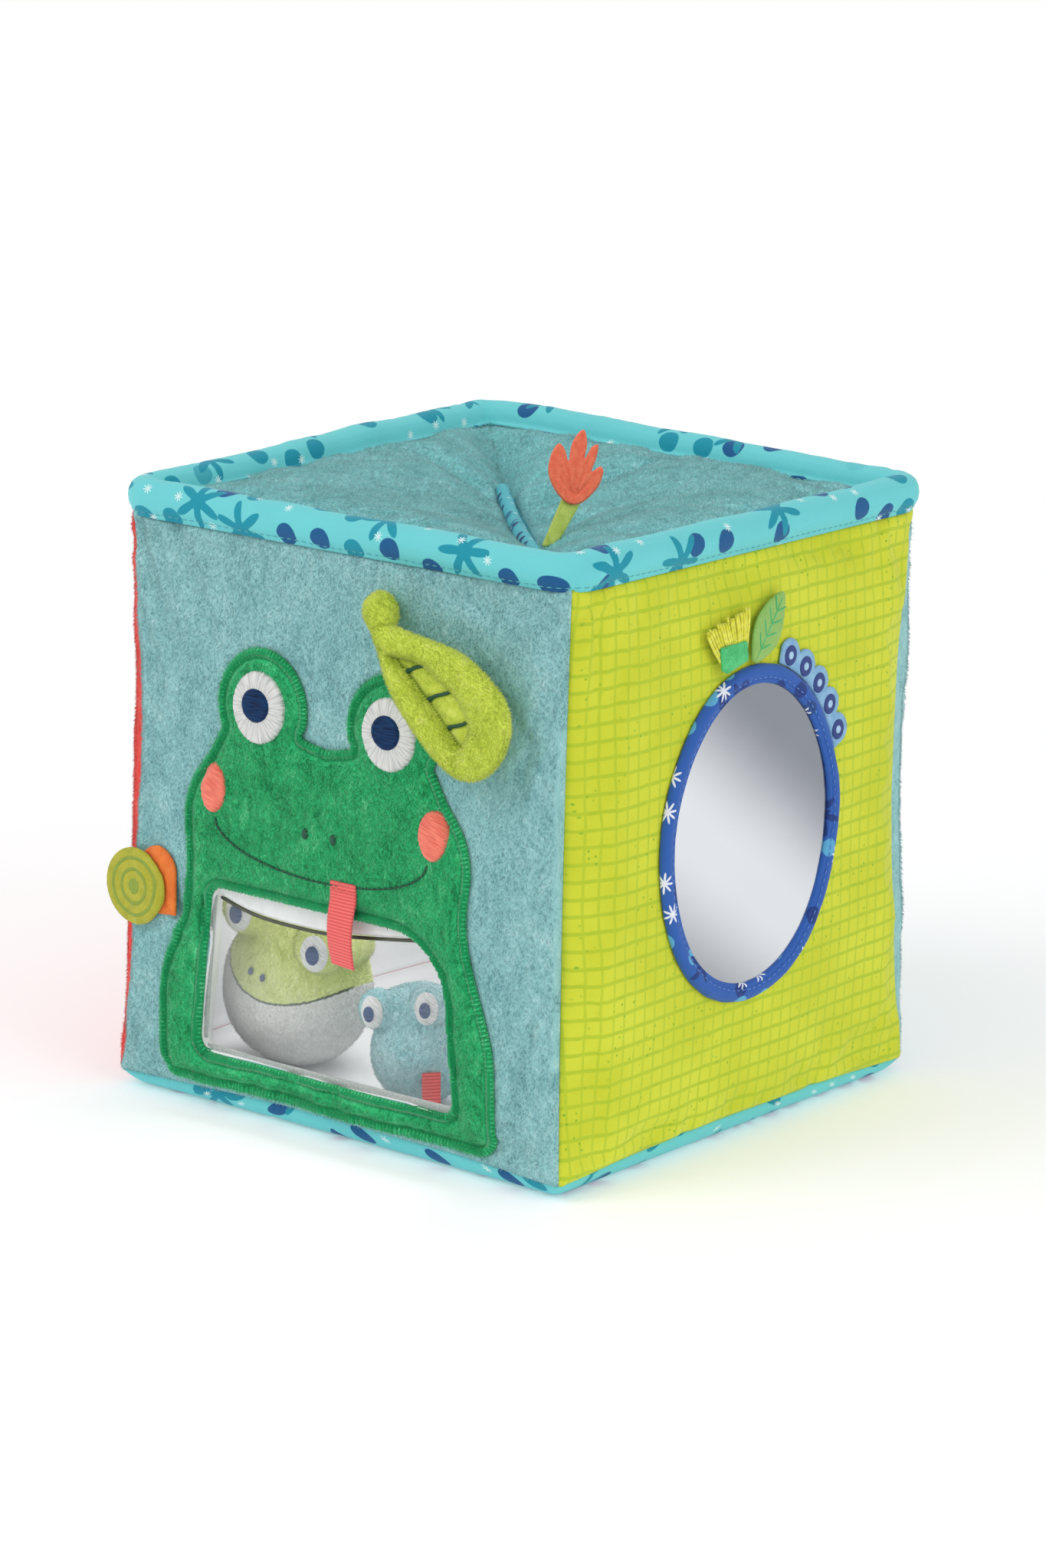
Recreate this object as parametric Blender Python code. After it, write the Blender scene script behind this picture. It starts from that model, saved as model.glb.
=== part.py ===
# Soft activity cube for a baby: six padded fabric panels sewn into a hollow box,
# a printed binding round the top edge, a slit across the top and two loose toys inside.
import math

import bmesh
import bpy
from mathutils import Matrix, Vector

# The box
TOP_WIDTH = 0.180
BASE_WIDTH = 0.184
WALL_TOP = 0.189
SEAM_PINCH = 0.0042
PUFF_MIDDLE = 0.0085
PUFF_EDGE = 0.001
CROWN = 0.001
SHOULDER_RUN = 0.0075
BASE_PUFF = 0.0026
CORNER_LIFT = 0.0027
SEAM_ARCH = 0.0024
LEAN_X = 0.0028
LEAN_Y = 0.0043
BACK_RISE = 0.0010
CORNER_RISE = 0.0036
GAP = 0.0003
MITRE_GAP = 0.0002

# The three layers of a wall: thickness in the middle and where it is sewn
COVER = 0.0018
COVER_AT_SEAM = 0.0011
PAD = 0.0065
PAD_AT_SEAM = 0.0014
LINING = 0.0008
LINING_AT_SEAM = 0.0006
COLUMNS = 10
ROWS = 6

# Rim binding and top
RIM_DIAMETER = 0.011
RIM_CORNER = 0.008
TOP_SAG = 0.011
TOP_PILLOW = 0.0035
TOP_COVER = 0.0022
TOP_LINING = 0.0009
TOP_DROP = 0.0018
TOP_END = 0.0036
TOP_CORNER = 0.0030
SLIT_LENGTH = 0.104
SLIT_GAP = 0.0104
SLIT_BINDING = 0.0042
SLIT_MERGE = 0.009

# Window in the front wall
WINDOW_BASE_HALF = 0.0535
WINDOW_TOP_HALF = 0.0480
WINDOW_LOW = 0.0178
WINDOW_HIGH = 0.0738
WINDOW_CORNER = 0.005
WINDOW_ROUND_CORNER = 0.022
FILM = 0.0005
FILM_MARGIN = 0.004
MOUTH_GAP = 0.0082

# Green appliqué round the window
APPLIQUE = 0.0022
FROG_HALF = 0.0700
FROG_LOW = 0.0068
FROG_TOP = 0.1545
FROG_CORNER = 0.008
DOME_RADIUS = 0.0185
EYE_OFFSET = 0.0270
EYE_WIDTH = 0.0200
EYE_HEIGHT = 0.0230
EYE_PATCH = 0.0010
PUPIL_WIDTH = 0.0105
PUPIL = 0.0005
CHEEK_OFFSET = 0.0455
CHEEK_HEIGHT = 0.107
CHEEK_WIDTH = 0.0110
CHEEK_LENGTH = 0.0160
CHEEK = 0.0008
NOSTRIL_OFFSET = 0.0058
NOSTRIL_HEIGHT = 0.0990
NOSTRIL_WIDTH = 0.0022
NOSTRIL_LENGTH = 0.0034
MOUTH_HALF = 0.0440
MOUTH_LOW = 0.0835
MOUTH_RISE = 0.0135
STITCH_WIDTH = 0.0016
STITCH = 0.0004

# Tongue ribbon
RIBBON_WIDTH = 0.0105
RIBBON_LENGTH = 0.0270
RIBBON = 0.0009
RIBBON_PLACE = 0.0100

# Leaf flap
LEAF_NECK_X = 0.0310
LEAF_NECK_Z = 0.1690
LEAF_LENGTH = 0.0500
LEAF_WIDTH = 0.0270
LEAF_TURN = 43.0
LEAF_RIM = 0.0088
LEAF_PLATE = 0.0030
LEAF_CLEAR = 0.0006
STALK_LENGTH = 0.0125
STALK_NECK = 0.0060
STALK_KNOB = 0.0105

# Mirror on the right wall
MIRROR_PLACE = -0.0050
MIRROR_HEIGHT = 0.0990
MIRROR_WIDTH = 0.0820
MIRROR_LENGTH = 0.0960
RING_WIDTH = 0.0062
RING = 0.0029
RING_COVERS = 0.0020
BACKING = 0.0008
MIRROR_FILM = 0.0005

# Cloth tags
TAG = 0.0012
TAG_CLEAR = 0.0005
DISC_TAG_DIAMETER = 0.0255
DISC_TAG_REACH = 0.0165
DISC_TAG_ROOT = 0.0640
DISC_TAG_HEIGHT = 0.0680
DISC_TAG_STRAP = 0.0150
PETAL_TAG_HEIGHT = 0.0300
SCALLOP_RADIUS = 0.0055
SCALLOP_COUNT = 5
SCALLOP_START = 22.0
SCALLOP_STEP = 10.5
SCALLOP_BAND = 0.0064
LEAF_TAG_LENGTH = 0.0250
LEAF_TAG_WIDTH = 0.0125
LEAF_TAG_TURN = 52.0
LEAF_TAG_PLACE = -0.0060
FRINGE_LENGTH = 0.0140
FRINGE_WIDTH = 0.0230
FRINGE_TURN = 103.0
FRINGE_PLACE = -0.0175
FRINGE_CUTS = 6
FRINGE_CUT = 0.0008
FRINGE_CUT_DEPTH = 0.0075
CREST_ALONG = 0.0370
CREST_BEND = 0.0080
CREST_TURN = 40.0
CREST_STEM_LENGTH = 0.0170
CREST_STEM_WIDTH = 0.0070
CREST_LENGTH = 0.0235
CREST_WIDTH = 0.0185
CREST_LEAN = 12.0

# Round patch on the back wall
BACK_PATCH_DIAMETER = 0.1080
BACK_PATCH_PLACE = 0.0240
BACK_PATCH_HEIGHT = 0.0950

# Green toy
GREEN_X = -0.0450
GREEN_FRONT = 0.0055
GREEN_WIDTH = 0.0520
GREEN_DEPTH = 0.0460
GREEN_HEIGHT = 0.0545
GREEN_EYE_DOME = 0.0180
GREEN_EYE_SPREAD = 0.0310
GREEN_EYE_DISC = 0.0120
GREEN_TILT = 14.5
GREEN_TURN = 2.0
TOY_EYE = 0.0008
TOY_TAPER = 0.15
SMILE_RADIUS = 0.0340
SMILE_DROP = 0.0010

# Blue toy
BLUE_X = 0.0130
BLUE_FRONT = 0.0065
BLUE_WIDTH = 0.0320
BLUE_DEPTH = 0.0300
BLUE_HEIGHT = 0.0370
BLUE_EYE_DOME = 0.0130
BLUE_EYE_SPREAD = 0.0175
BLUE_EYE_DISC = 0.0100
BLUE_TILT = -10.0
BLUE_TURN = 20.0
BLUE_RIBBON_WIDTH = 0.0060
BLUE_RIBBON_LENGTH = 0.0100
BLUE_RIBBON_DROP = 0.0040
BLUE_RIBBON_TURN = 52.0

SEAM_DEPTH = COVER_AT_SEAM + PAD_AT_SEAM + LINING_AT_SEAM + 2 * GAP
WALL_DEPTH = COVER + PAD + LINING + 2 * GAP
FRONT, RIGHT, BACK, LEFT = 0, 90, 180, 270

for old in list(bpy.data.objects):
    bpy.data.objects.remove(old, do_unlink=True)
parts = bpy.data.collections.new("soft_activity_cube")
cutters = bpy.data.collections.new("cutters")
bpy.context.scene.collection.children.link(parts)
bpy.context.scene.collection.children.link(cutters)

# How full each wall is, and how slowly it rounds over beside its upright seams
fullness_shares = {FRONT: 1.0, RIGHT: 0.95, BACK: 1.9, LEFT: 1.3}
rounding_shares = {FRONT: 1.0, RIGHT: 2.2, BACK: 1.0, LEFT: 1.0}


def settle(point):
    """Where a point ends in the soft box: it leans and its back left corner stands high."""
    share = max(point.z, 0) / WALL_TOP
    far = 0.5 + point.y / TOP_WIDTH
    left = 0.5 - point.x / TOP_WIDTH
    rise = far * (BACK_RISE + (CORNER_RISE - BACK_RISE) * left)
    return Vector((point.x - LEAN_X * share, point.y + LEAN_Y * share, point.z + rise * share + BASE_PUFF))


def finish(name, color, roughness=0.9, metallic=0.0):
    """Principled material of one piece."""
    material = bpy.data.materials.new(name)
    material.use_nodes = True
    shader = material.node_tree.nodes["Principled BSDF"]
    shader.inputs["Base Color"].default_value = (*color, 1)
    shader.inputs["Roughness"].default_value = roughness
    shader.inputs["Metallic"].default_value = metallic
    return material


PLUSH_BLUE = (0.23, 0.46, 0.47)
LIME = (0.66, 0.72, 0.04)
RED = (0.83, 0.06, 0.05)
PRINT_AQUA = (0.11, 0.58, 0.61)
WHITE = (0.82, 0.82, 0.80)
GREEN = (0.01, 0.31, 0.09)
NAVY = (0.02, 0.05, 0.15)
CORAL = (0.87, 0.13, 0.12)
LEAF_GREEN = (0.52, 0.64, 0.07)
FILM_CLEAR = (0.80, 0.82, 0.84)
RING_BLUE = (0.02, 0.08, 0.45)


def add(name, data, color, roughness=0.9, metallic=0.0, collection=parts):
    """Object of one piece, with a material of its own."""
    obj = bpy.data.objects.new(name, data)
    collection.objects.link(obj)
    if collection is parts:
        data.materials.append(finish(name, color, roughness, metallic))
    else:
        obj.hide_render = True
        obj.display_type = "WIRE"
    return obj


def place(obj, turn):
    """Turns a piece that was made for the front to its own wall, then lets it settle."""
    obj.data.transform(Matrix.Rotation(math.radians(turn), 4, "Z"))
    for vert in obj.data.vertices:
        vert.co = settle(vert.co)
    return obj


def set_axis(obj, point):
    """Moves the origin of a finished piece to a point on its joint's axis."""
    obj.data.transform(Matrix.Translation(-point))
    obj.location = point


def boolean(obj, other, operation):
    """Cuts or joins a piece with another solid."""
    step = obj.modifiers.new(operation.lower(), "BOOLEAN")
    step.operation = operation
    step.solver = "EXACT"
    step.object = other


def seam_half(w):
    """Half the distance between two upright seams, at the share w of the height."""
    straight = (BASE_WIDTH + (TOP_WIDTH - BASE_WIDTH) * w) / 2
    return straight - SEAM_PINCH * 4 * w * (1 - w)


def shoulder(distance, run=SHOULDER_RUN):
    """Rounding from a seam, 0, up to the flat of the panel, 1."""
    return math.sqrt(1 - (1 - min(distance / run, 1)) ** 2)


def puff(u, w, turn):
    """How far a wall stands out from the line between its seams."""
    swell = max(4 * w * (1 - w), 0)
    height = PUFF_EDGE + (PUFF_MIDDLE - PUFF_EDGE) * swell ** 0.6
    rise = shoulder((1 - abs(u)) * seam_half(w), SHOULDER_RUN * rounding_shares[turn])
    return (height * rise + CROWN * (1 - u * u) * swell) * fullness_shares[turn]


def seam_height(u):
    """Height of the seam between a wall and the base: lowest at the corners."""
    return CORNER_LIFT + SEAM_ARCH * (1 - u * u)


def ease(u, v):
    """0 where a layer is sewn down, 1 over nearly all of the panel."""
    return (1 - u ** 8) * (1 - v ** 8)


def wall_point(u, v, at_seam, in_middle, turn):
    """Point of a wall at a depth under its outer face, as if it were the front."""
    w = (1 + v) / 2
    half = seam_half(w)
    depth = at_seam + (in_middle - at_seam) * ease(u, v)
    low = seam_height(u) + at_seam + MITRE_GAP
    across = u * (half - at_seam)
    out = half + MITRE_GAP + puff(u, w, turn) - depth
    return Vector((across, -out, low + (WALL_TOP - low) * w))


def wall_out(across, height, turn=FRONT):
    """Distance from the middle of the box to the outer face of a wall."""
    w = (height - CORNER_LIFT) / (WALL_TOP - CORNER_LIFT)
    half = seam_half(w)
    return half + MITRE_GAP + puff(min(1, abs(across) / half), w, turn)


def base_point(u, v, at_seam, in_middle):
    """Point of the base at a depth above its lower face."""
    half = BASE_WIDTH / 2
    near = shoulder((1 - abs(u)) * half) * shoulder((1 - abs(v)) * half)
    lift = (seam_height(min(abs(u), abs(v))) - MITRE_GAP) * (1 - near) - BASE_PUFF * near
    depth = at_seam + (in_middle - at_seam) * ease(u, v)
    return Vector((u * (half - at_seam), v * (half - at_seam), lift + depth))


def layer(name, outer, inner, color, rows=ROWS, collection=parts, roughness=0.9):
    """Closed sheet between two faces, each given as a function of u and v from -1 to 1."""
    bm = bmesh.new()
    bmesh.ops.create_grid(bm, x_segments=COLUMNS, y_segments=rows, size=1)
    bmesh.ops.triangulate(bm, faces=bm.faces[:], quad_method="FIXED")
    first = bm.verts[:]
    grown = bmesh.ops.extrude_face_region(bm, geom=bm.faces[:], use_keep_orig=True)
    second = [item for item in grown["geom"] if isinstance(item, bmesh.types.BMVert)]
    for verts, face in ((first, outer), (second, inner)):
        for vert in verts:
            u = math.sin(math.pi / 2 * vert.co.x)
            v = math.sin(math.pi / 2 * vert.co.y)
            vert.co = face(u, v)
    bmesh.ops.recalc_face_normals(bm, faces=bm.faces[:])
    if bm.calc_volume(signed=True) < 0:
        bmesh.ops.reverse_faces(bm, faces=bm.faces[:])
    mesh = bpy.data.meshes.new(name)
    bm.to_mesh(mesh)
    bm.free()
    mesh.shade_smooth()
    mesh.set_sharp_from_angle(angle=math.radians(50))
    return add(name, mesh, color, roughness, 0.0, collection)


def smooth_run(points, steps=4):
    """Points of a smooth curve through the given points."""
    run = []
    for n in range(len(points) - 1):
        before = points[max(n - 1, 0)]
        a, b = points[n], points[n + 1]
        after = points[min(n + 2, len(points) - 1)]
        for k in range(steps):
            t = k / steps
            run.append(tuple(
                0.5 * (2 * a[i] + (b[i] - before[i]) * t
                       + (2 * before[i] - 5 * a[i] + 4 * b[i] - after[i]) * t ** 2
                       + (3 * a[i] - before[i] - 3 * b[i] + after[i]) * t ** 3)
                for i in range(len(a))
            ))
    run.append(tuple(points[-1]))
    return run


def arc(centre, radius, start, end, steps):
    """Points of an arc, its angles in degrees."""
    turns = [math.radians(start + (end - start) * k / steps) for k in range(steps + 1)]
    return [(centre[0] + radius * math.cos(a), centre[1] + radius * math.sin(a)) for a in turns]


def oval(centre, width, height, steps=24):
    """Points of an ellipse."""
    turns = [2 * math.pi * k / steps for k in range(steps)]
    return [(centre[0] + width / 2 * math.cos(a), centre[1] + height / 2 * math.sin(a)) for a in turns]


def rounded(corners, radii, steps=5):
    """Polygon with each corner rounded by its own radius."""
    outline = []
    count = len(corners)
    for n in range(count):
        here = Vector(corners[n])
        back = (Vector(corners[n - 1]) - here).normalized()
        ahead = (Vector(corners[(n + 1) % count]) - here).normalized()
        half_turn = back.angle(ahead) / 2
        reach = radii[n] / math.tan(half_turn)
        start, end = here + back * reach, here + ahead * reach
        middle = here + (back + ahead).normalized() * radii[n] / math.sin(half_turn)
        for k in range(steps + 1):
            chord = start.lerp(end, k / steps) - middle
            outline.append(tuple(middle + chord.normalized() * radii[n]))
    return outline


def prism(name, outline, low, high, color=WHITE, collection=cutters, roughness=0.9):
    """Upright slab with an outline in x and z, between two distances out from the middle."""
    curve = bpy.data.curves.new(name, "CURVE")
    curve.dimensions = "2D"
    curve.fill_mode = "BOTH"
    curve.extrude = (high - low) / 2
    spline = curve.splines.new("POLY")
    spline.points.add(len(outline) - 1)
    spline.use_cyclic_u = True
    for point, (x, z) in zip(spline.points, outline):
        point.co = (x, z, 0, 1)
    return from_curve(name, curve, Matrix.Translation((0, -(low + high) / 2, 0))
                      @ Matrix.Rotation(math.pi / 2, 4, "X"), color, collection, roughness)


def from_curve(name, curve, matrix, color, collection=parts, roughness=0.9):
    """Mesh of a filled or bevelled curve, with its caps welded."""
    guide = bpy.data.objects.new(name, curve)
    cutters.objects.link(guide)
    bpy.context.view_layer.update()
    mesh = bpy.data.meshes.new_from_object(guide.evaluated_get(bpy.context.evaluated_depsgraph_get()))
    bpy.data.objects.remove(guide)
    bpy.data.curves.remove(curve)
    bm = bmesh.new()
    bm.from_mesh(mesh)
    bmesh.ops.remove_doubles(bm, verts=bm.verts[:], dist=GAP / 100)
    bmesh.ops.triangulate(bm, faces=bm.faces[:])
    bmesh.ops.recalc_face_normals(bm, faces=bm.faces[:])
    bm.transform(matrix)
    bm.to_mesh(mesh)
    bm.free()
    mesh.name = name
    mesh.shade_smooth()
    mesh.set_sharp_from_angle(angle=math.radians(50))
    return add(name, mesh, color, roughness, 0.0, collection)


def tube(name, points, diameter, color, closed=False, scales=None, collection=parts):
    """Round stuffed tube along points, with a scale for its thickness at each of them."""
    curve = bpy.data.curves.new(name, "CURVE")
    curve.dimensions = "3D"
    curve.bevel_depth = diameter / 2
    curve.bevel_resolution = 2
    curve.use_fill_caps = not closed
    spline = curve.splines.new("POLY")
    spline.points.add(len(points) - 1)
    spline.use_cyclic_u = closed
    for n, place_of_point in enumerate(points):
        spline.points[n].co = (*place_of_point, 1)
        spline.points[n].radius = scales[n] if scales else 1
    return from_curve(name, curve, Matrix.Identity(4), color, collection)


def patch(name, turn, outline, low, high, color, roughness=0.9, collection=parts):
    """Flat piece sewn on a wall: it follows the wall's face between two heights over it."""
    def face(lift):
        return lambda u, v: wall_point(u, v, 0, 0, turn) - Vector((0, lift, 0))
    obj = layer(name, face(high), face(low), color, collection=collection, roughness=roughness)
    far = (BASE_WIDTH + TOP_WIDTH) / 2
    stamp = prism(name + "_stamp", outline, far / 4, far)
    boolean(obj, stamp, "INTERSECT")
    place(stamp, turn)
    return place(obj, turn)


# Walls and base, each a cover, a pad and a lining that narrow towards the seams
window_corners = (
    (-WINDOW_BASE_HALF, WINDOW_LOW), (WINDOW_BASE_HALF, WINDOW_LOW),
    (WINDOW_TOP_HALF, WINDOW_HIGH), (-WINDOW_TOP_HALF, WINDOW_HIGH),
)
window_radii = (WINDOW_CORNER, WINDOW_CORNER, WINDOW_ROUND_CORNER, WINDOW_CORNER)
window_outline = rounded(window_corners, window_radii)
film_edge_shares = ((1.0, -0.05), (0.5, -0.55), (0.05, -0.92), (-0.3, -1.0), (-0.65, -0.88), (-1.0, -0.35))
film_half = WINDOW_TOP_HALF + FILM_MARGIN
film_edge = smooth_run([(x * film_half, WINDOW_HIGH + z * MOUTH_GAP) for x, z in film_edge_shares])
film_outline = [
    (-WINDOW_BASE_HALF - FILM_MARGIN, WINDOW_LOW - FILM_MARGIN),
    (WINDOW_BASE_HALF + FILM_MARGIN, WINDOW_LOW - FILM_MARGIN),
] + film_edge
seat_outline = [
    (-WINDOW_BASE_HALF - FILM_MARGIN - GAP, WINDOW_LOW - FILM_MARGIN - GAP),
    (WINDOW_BASE_HALF + FILM_MARGIN + GAP, WINDOW_LOW - FILM_MARGIN - GAP),
    (film_half + GAP, WINDOW_HIGH + GAP), (-film_half - GAP, WINDOW_HIGH + GAP),
]
window_cutter = prism("window_cutter", window_outline, TOP_WIDTH / 4, TOP_WIDTH)
place(window_cutter, FRONT)
film_seat = patch("film_seat", FRONT, seat_outline, -COVER - FILM - 3 * GAP, GAP, WHITE, collection=cutters)

layers = (
    ("cover", (0, 0), (COVER_AT_SEAM, COVER)),
    ("pad", (COVER_AT_SEAM + GAP, COVER + GAP), (COVER_AT_SEAM + GAP + PAD_AT_SEAM, COVER + GAP + PAD)),
    ("lining", (SEAM_DEPTH - LINING_AT_SEAM, WALL_DEPTH - LINING), (SEAM_DEPTH, WALL_DEPTH)),
)
walls = (("front", FRONT, PLUSH_BLUE), ("right", RIGHT, LIME), ("back", BACK, PLUSH_BLUE), ("left", LEFT, RED))
for layer_name, outer_depth, inner_depth in layers:
    for wall_name, turn, wall_color in walls:
        sheet = layer(
            wall_name + "_" + layer_name,
            lambda u, v, d=outer_depth, t=turn: wall_point(u, v, *d, t),
            lambda u, v, d=inner_depth, t=turn: wall_point(u, v, *d, t),
            wall_color if layer_name == "cover" else WHITE,
        )
        place(sheet, turn)
        if wall_name == "front":
            if layer_name == "pad":
                boolean(sheet, film_seat, "DIFFERENCE")
            boolean(sheet, window_cutter, "DIFFERENCE")
    base = layer(
        "base_" + layer_name,
        lambda u, v, d=outer_depth: base_point(u, v, *d),
        lambda u, v, d=inner_depth: base_point(u, v, *d),
        PRINT_AQUA if layer_name == "cover" else WHITE,
        rows=COLUMNS,
    )
    place(base, FRONT)

patch("window_film", FRONT, film_outline, -COVER - GAP - FILM, -COVER - GAP, FILM_CLEAR, roughness=0.1)

# Binding rolled over the top edge of the walls
rim_half = TOP_WIDTH / 2
rim_middle = WALL_TOP + GAP + RIM_DIAMETER / 2
rim_outline = rounded(
    ((-rim_half, -rim_half), (rim_half, -rim_half), (rim_half, rim_half), (-rim_half, rim_half)),
    (RIM_CORNER,) * 4,
)
place(tube("rim_binding", [(x, y, rim_middle) for x, y in rim_outline], RIM_DIAMETER, PRINT_AQUA, True), FRONT)

# Top: two halves that meet on the diagonal, and a slit between them with bound lips
top_reach = (rim_half - RIM_DIAMETER / 2 - GAP) * math.sqrt(2)
top_height = rim_middle - TOP_DROP
slit_half = SLIT_LENGTH / 2
DIAGONAL = Matrix.Rotation(-math.pi / 4, 4, "Z")


def lip(q):
    """Distance from the diagonal to the bound edge of a half, q along the diagonal."""
    opening = max(1 - (q / slit_half) ** 2, 0)
    return MITRE_GAP + SLIT_GAP / 2 * opening


def edge(q):
    """Distance from the diagonal to the cloth of a half, behind its binding."""
    merged = min(max((abs(q) - slit_half) / SLIT_MERGE, 0), 1)
    return lip(q) + (SLIT_BINDING + GAP) * (1 - merged)


def hem(q):
    """Distance from the diagonal to the edge of the top inside the rim."""
    return top_reach - math.hypot(q, TOP_CORNER)


def top_rise(q, p):
    """Height of the top's face: it sags towards the diagonal and each half is pillowed."""
    t = min(abs(p) / hem(q), 1)
    along = 1 - (q / top_reach) ** 2
    return top_height - TOP_SAG * along * (1 - t) ** 1.5 + TOP_PILLOW * along * 4 * t * (1 - t)


def top_point(side, u, v, depth):
    """Point of one half of the top, at a depth under its face."""
    row = round(math.asin(u) / math.pi * COLUMNS)
    inner_rows = COLUMNS // 2 - 2
    stops = [slit_half * n / inner_rows for n in range(inner_rows + 1)]
    stops += [slit_half + SLIT_MERGE, top_reach - TOP_END]
    q = math.copysign(stops[abs(row)], row)
    share = (1 + v) / 2
    p = edge(q) + share * (hem(q) - edge(q))
    return Vector((q, side * p, top_rise(q, p) - depth))


for side, half_name in ((-1, "left"), (1, "right")):
    for piece, over, under, piece_color in (
        ("cover", 0, TOP_COVER, PLUSH_BLUE),
        ("lining", TOP_COVER + GAP, TOP_COVER + GAP + TOP_LINING, WHITE),
    ):
        half_sheet = layer(
            "top_" + piece + "_" + half_name,
            lambda u, v, s=side, d=over: top_point(s, u, v, d),
            lambda u, v, s=side, d=under: top_point(s, u, v, d),
            piece_color, rows=5,
        )
        half_sheet.data.transform(DIAGONAL)
        place(half_sheet, FRONT)
    lip_count = 12
    lip_points = []
    for n in range(lip_count + 1):
        q = slit_half * (2 * n / lip_count - 1)
        p = lip(q) + SLIT_BINDING / 2
        lip_points.append((q, side * p, top_rise(q, p) - (TOP_COVER + TOP_LINING) / 2))
    binding = tube("slit_binding_" + half_name, lip_points, SLIT_BINDING, PRINT_AQUA)
    binding.data.transform(DIAGONAL)
    place(binding, FRONT)

# Green appliqué: a rounded head with two eye domes round the window
eye_height = FROG_TOP - DOME_RADIUS
side_shares = ((1.0, 0.18), (0.985, 0.27), (0.92, 0.36), (0.855, 0.45), (0.83, 0.53),
               (0.845, 0.63), (0.80, 0.70), (0.70, 0.76))
corner = arc((FROG_HALF - FROG_CORNER, FROG_LOW + FROG_CORNER), FROG_CORNER, 270, 360, 5)
side_run = smooth_run([corner[-1]] + [(x * FROG_HALF, z * FROG_TOP) for x, z in side_shares], 3)
dome = arc((EYE_OFFSET, eye_height), DOME_RADIUS, -28, 205, 12)
saddle_share = 0.45
saddle = (0, dome[-1][1] - saddle_share * DOME_RADIUS * (1 - math.cos(math.radians(40))))
right_half = corner[:-1] + side_run + dome + [saddle]
left_half = [(-x, z) for x, z in reversed(right_half[:-1])]
on_cover = GAP
on_applique = GAP + APPLIQUE + GAP
applique = patch("frog_applique", FRONT, right_half + left_half, on_cover, on_cover + APPLIQUE, GREEN)
boolean(applique, window_cutter, "DIFFERENCE")

on_eye = on_applique + EYE_PATCH + GAP
for side, hand in ((-1, "left"), (1, "right")):
    eye_centre = (side * EYE_OFFSET, eye_height)
    patch("eye_patch_" + hand, FRONT, oval(eye_centre, EYE_WIDTH, EYE_HEIGHT),
          on_applique, on_applique + EYE_PATCH, WHITE)
    patch("pupil_" + hand, FRONT, oval(eye_centre, PUPIL_WIDTH, PUPIL_WIDTH, 16),
          on_eye, on_eye + PUPIL, NAVY)
    patch("cheek_" + hand, FRONT, oval((side * CHEEK_OFFSET, CHEEK_HEIGHT), CHEEK_WIDTH, CHEEK_LENGTH, 16),
          on_applique, on_applique + CHEEK, CORAL)
    patch("nostril_" + hand, FRONT,
          oval((side * NOSTRIL_OFFSET, NOSTRIL_HEIGHT), NOSTRIL_WIDTH, NOSTRIL_LENGTH, 10),
          on_applique, on_applique + STITCH, NAVY)

mouth_steps = 14
mouth_turns = [math.pi * (0.5 + n / mouth_steps) for n in range(mouth_steps + 1)]
mouth_line = [(MOUTH_HALF * math.sin(a + math.pi), MOUTH_LOW + MOUTH_RISE * (1 - abs(math.cos(a))))
              for a in mouth_turns]
mouth_outline = mouth_line + [(x, z + STITCH_WIDTH) for x, z in reversed(mouth_line)]
patch("mouth_stitching", FRONT, mouth_outline, on_applique, on_applique + STITCH, NAVY)


def clear_of_wall(outline, turn):
    """Distance from the middle of the box that clears the wall's cover behind an outline."""
    return max(wall_out(x, z, turn) for x, z in outline) + TAG_CLEAR


def flat_piece(name, turn, outline, out, thickness, color, roughness=0.9):
    """Flat upright piece whose back is at a distance out from the middle of the box."""
    return place(prism(name, outline, out, out + thickness, color, parts, roughness), turn)


# Tongue ribbon, sewn down by its upper end over the mouth line
ribbon_top = MOUTH_LOW + STITCH_WIDTH + RIBBON
ribbon_bottom = ribbon_top - RIBBON_LENGTH
ribbon_out = max(wall_out(RIBBON_PLACE, z) for z in (ribbon_top, ribbon_bottom))
ribbon_out += on_applique + STITCH + GAP
ribbon_outline = [
    (RIBBON_PLACE - RIBBON_WIDTH / 2, ribbon_bottom), (RIBBON_PLACE + RIBBON_WIDTH / 2, ribbon_bottom),
    (RIBBON_PLACE + RIBBON_WIDTH / 2, ribbon_top), (RIBBON_PLACE - RIBBON_WIDTH / 2, ribbon_top),
]
ribbon = flat_piece("tongue_ribbon", FRONT, ribbon_outline, ribbon_out, RIBBON, CORAL)
ribbon_axis = settle(Vector((RIBBON_PLACE, -ribbon_out - RIBBON / 2, ribbon_top - RIBBON / 2)))
set_axis(ribbon, ribbon_axis)

# Leaf flap: a stuffed roll round a sunken middle, joined to the wall by its stalk
leaf_turn = math.radians(LEAF_TURN)
leaf_shares = ((0.0, 0.0), (0.10, 0.30), (0.32, 0.62), (0.58, 0.70), (0.82, 0.52), (0.97, 0.18),
               (1.0, -0.08), (0.88, -0.30), (0.62, -0.38), (0.36, -0.36), (0.14, -0.22))
leaf_out = wall_out(EYE_OFFSET, eye_height) + on_eye + PUPIL + LEAF_CLEAR + LEAF_RIM / 2


def leaf_place(along, across):
    """Place on the wall of a point of the leaf, in x and z."""
    x = LEAF_NECK_X + along * math.cos(leaf_turn) + across * math.sin(leaf_turn)
    z = LEAF_NECK_Z - along * math.sin(leaf_turn) + across * math.cos(leaf_turn)
    return (x, z)


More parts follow.
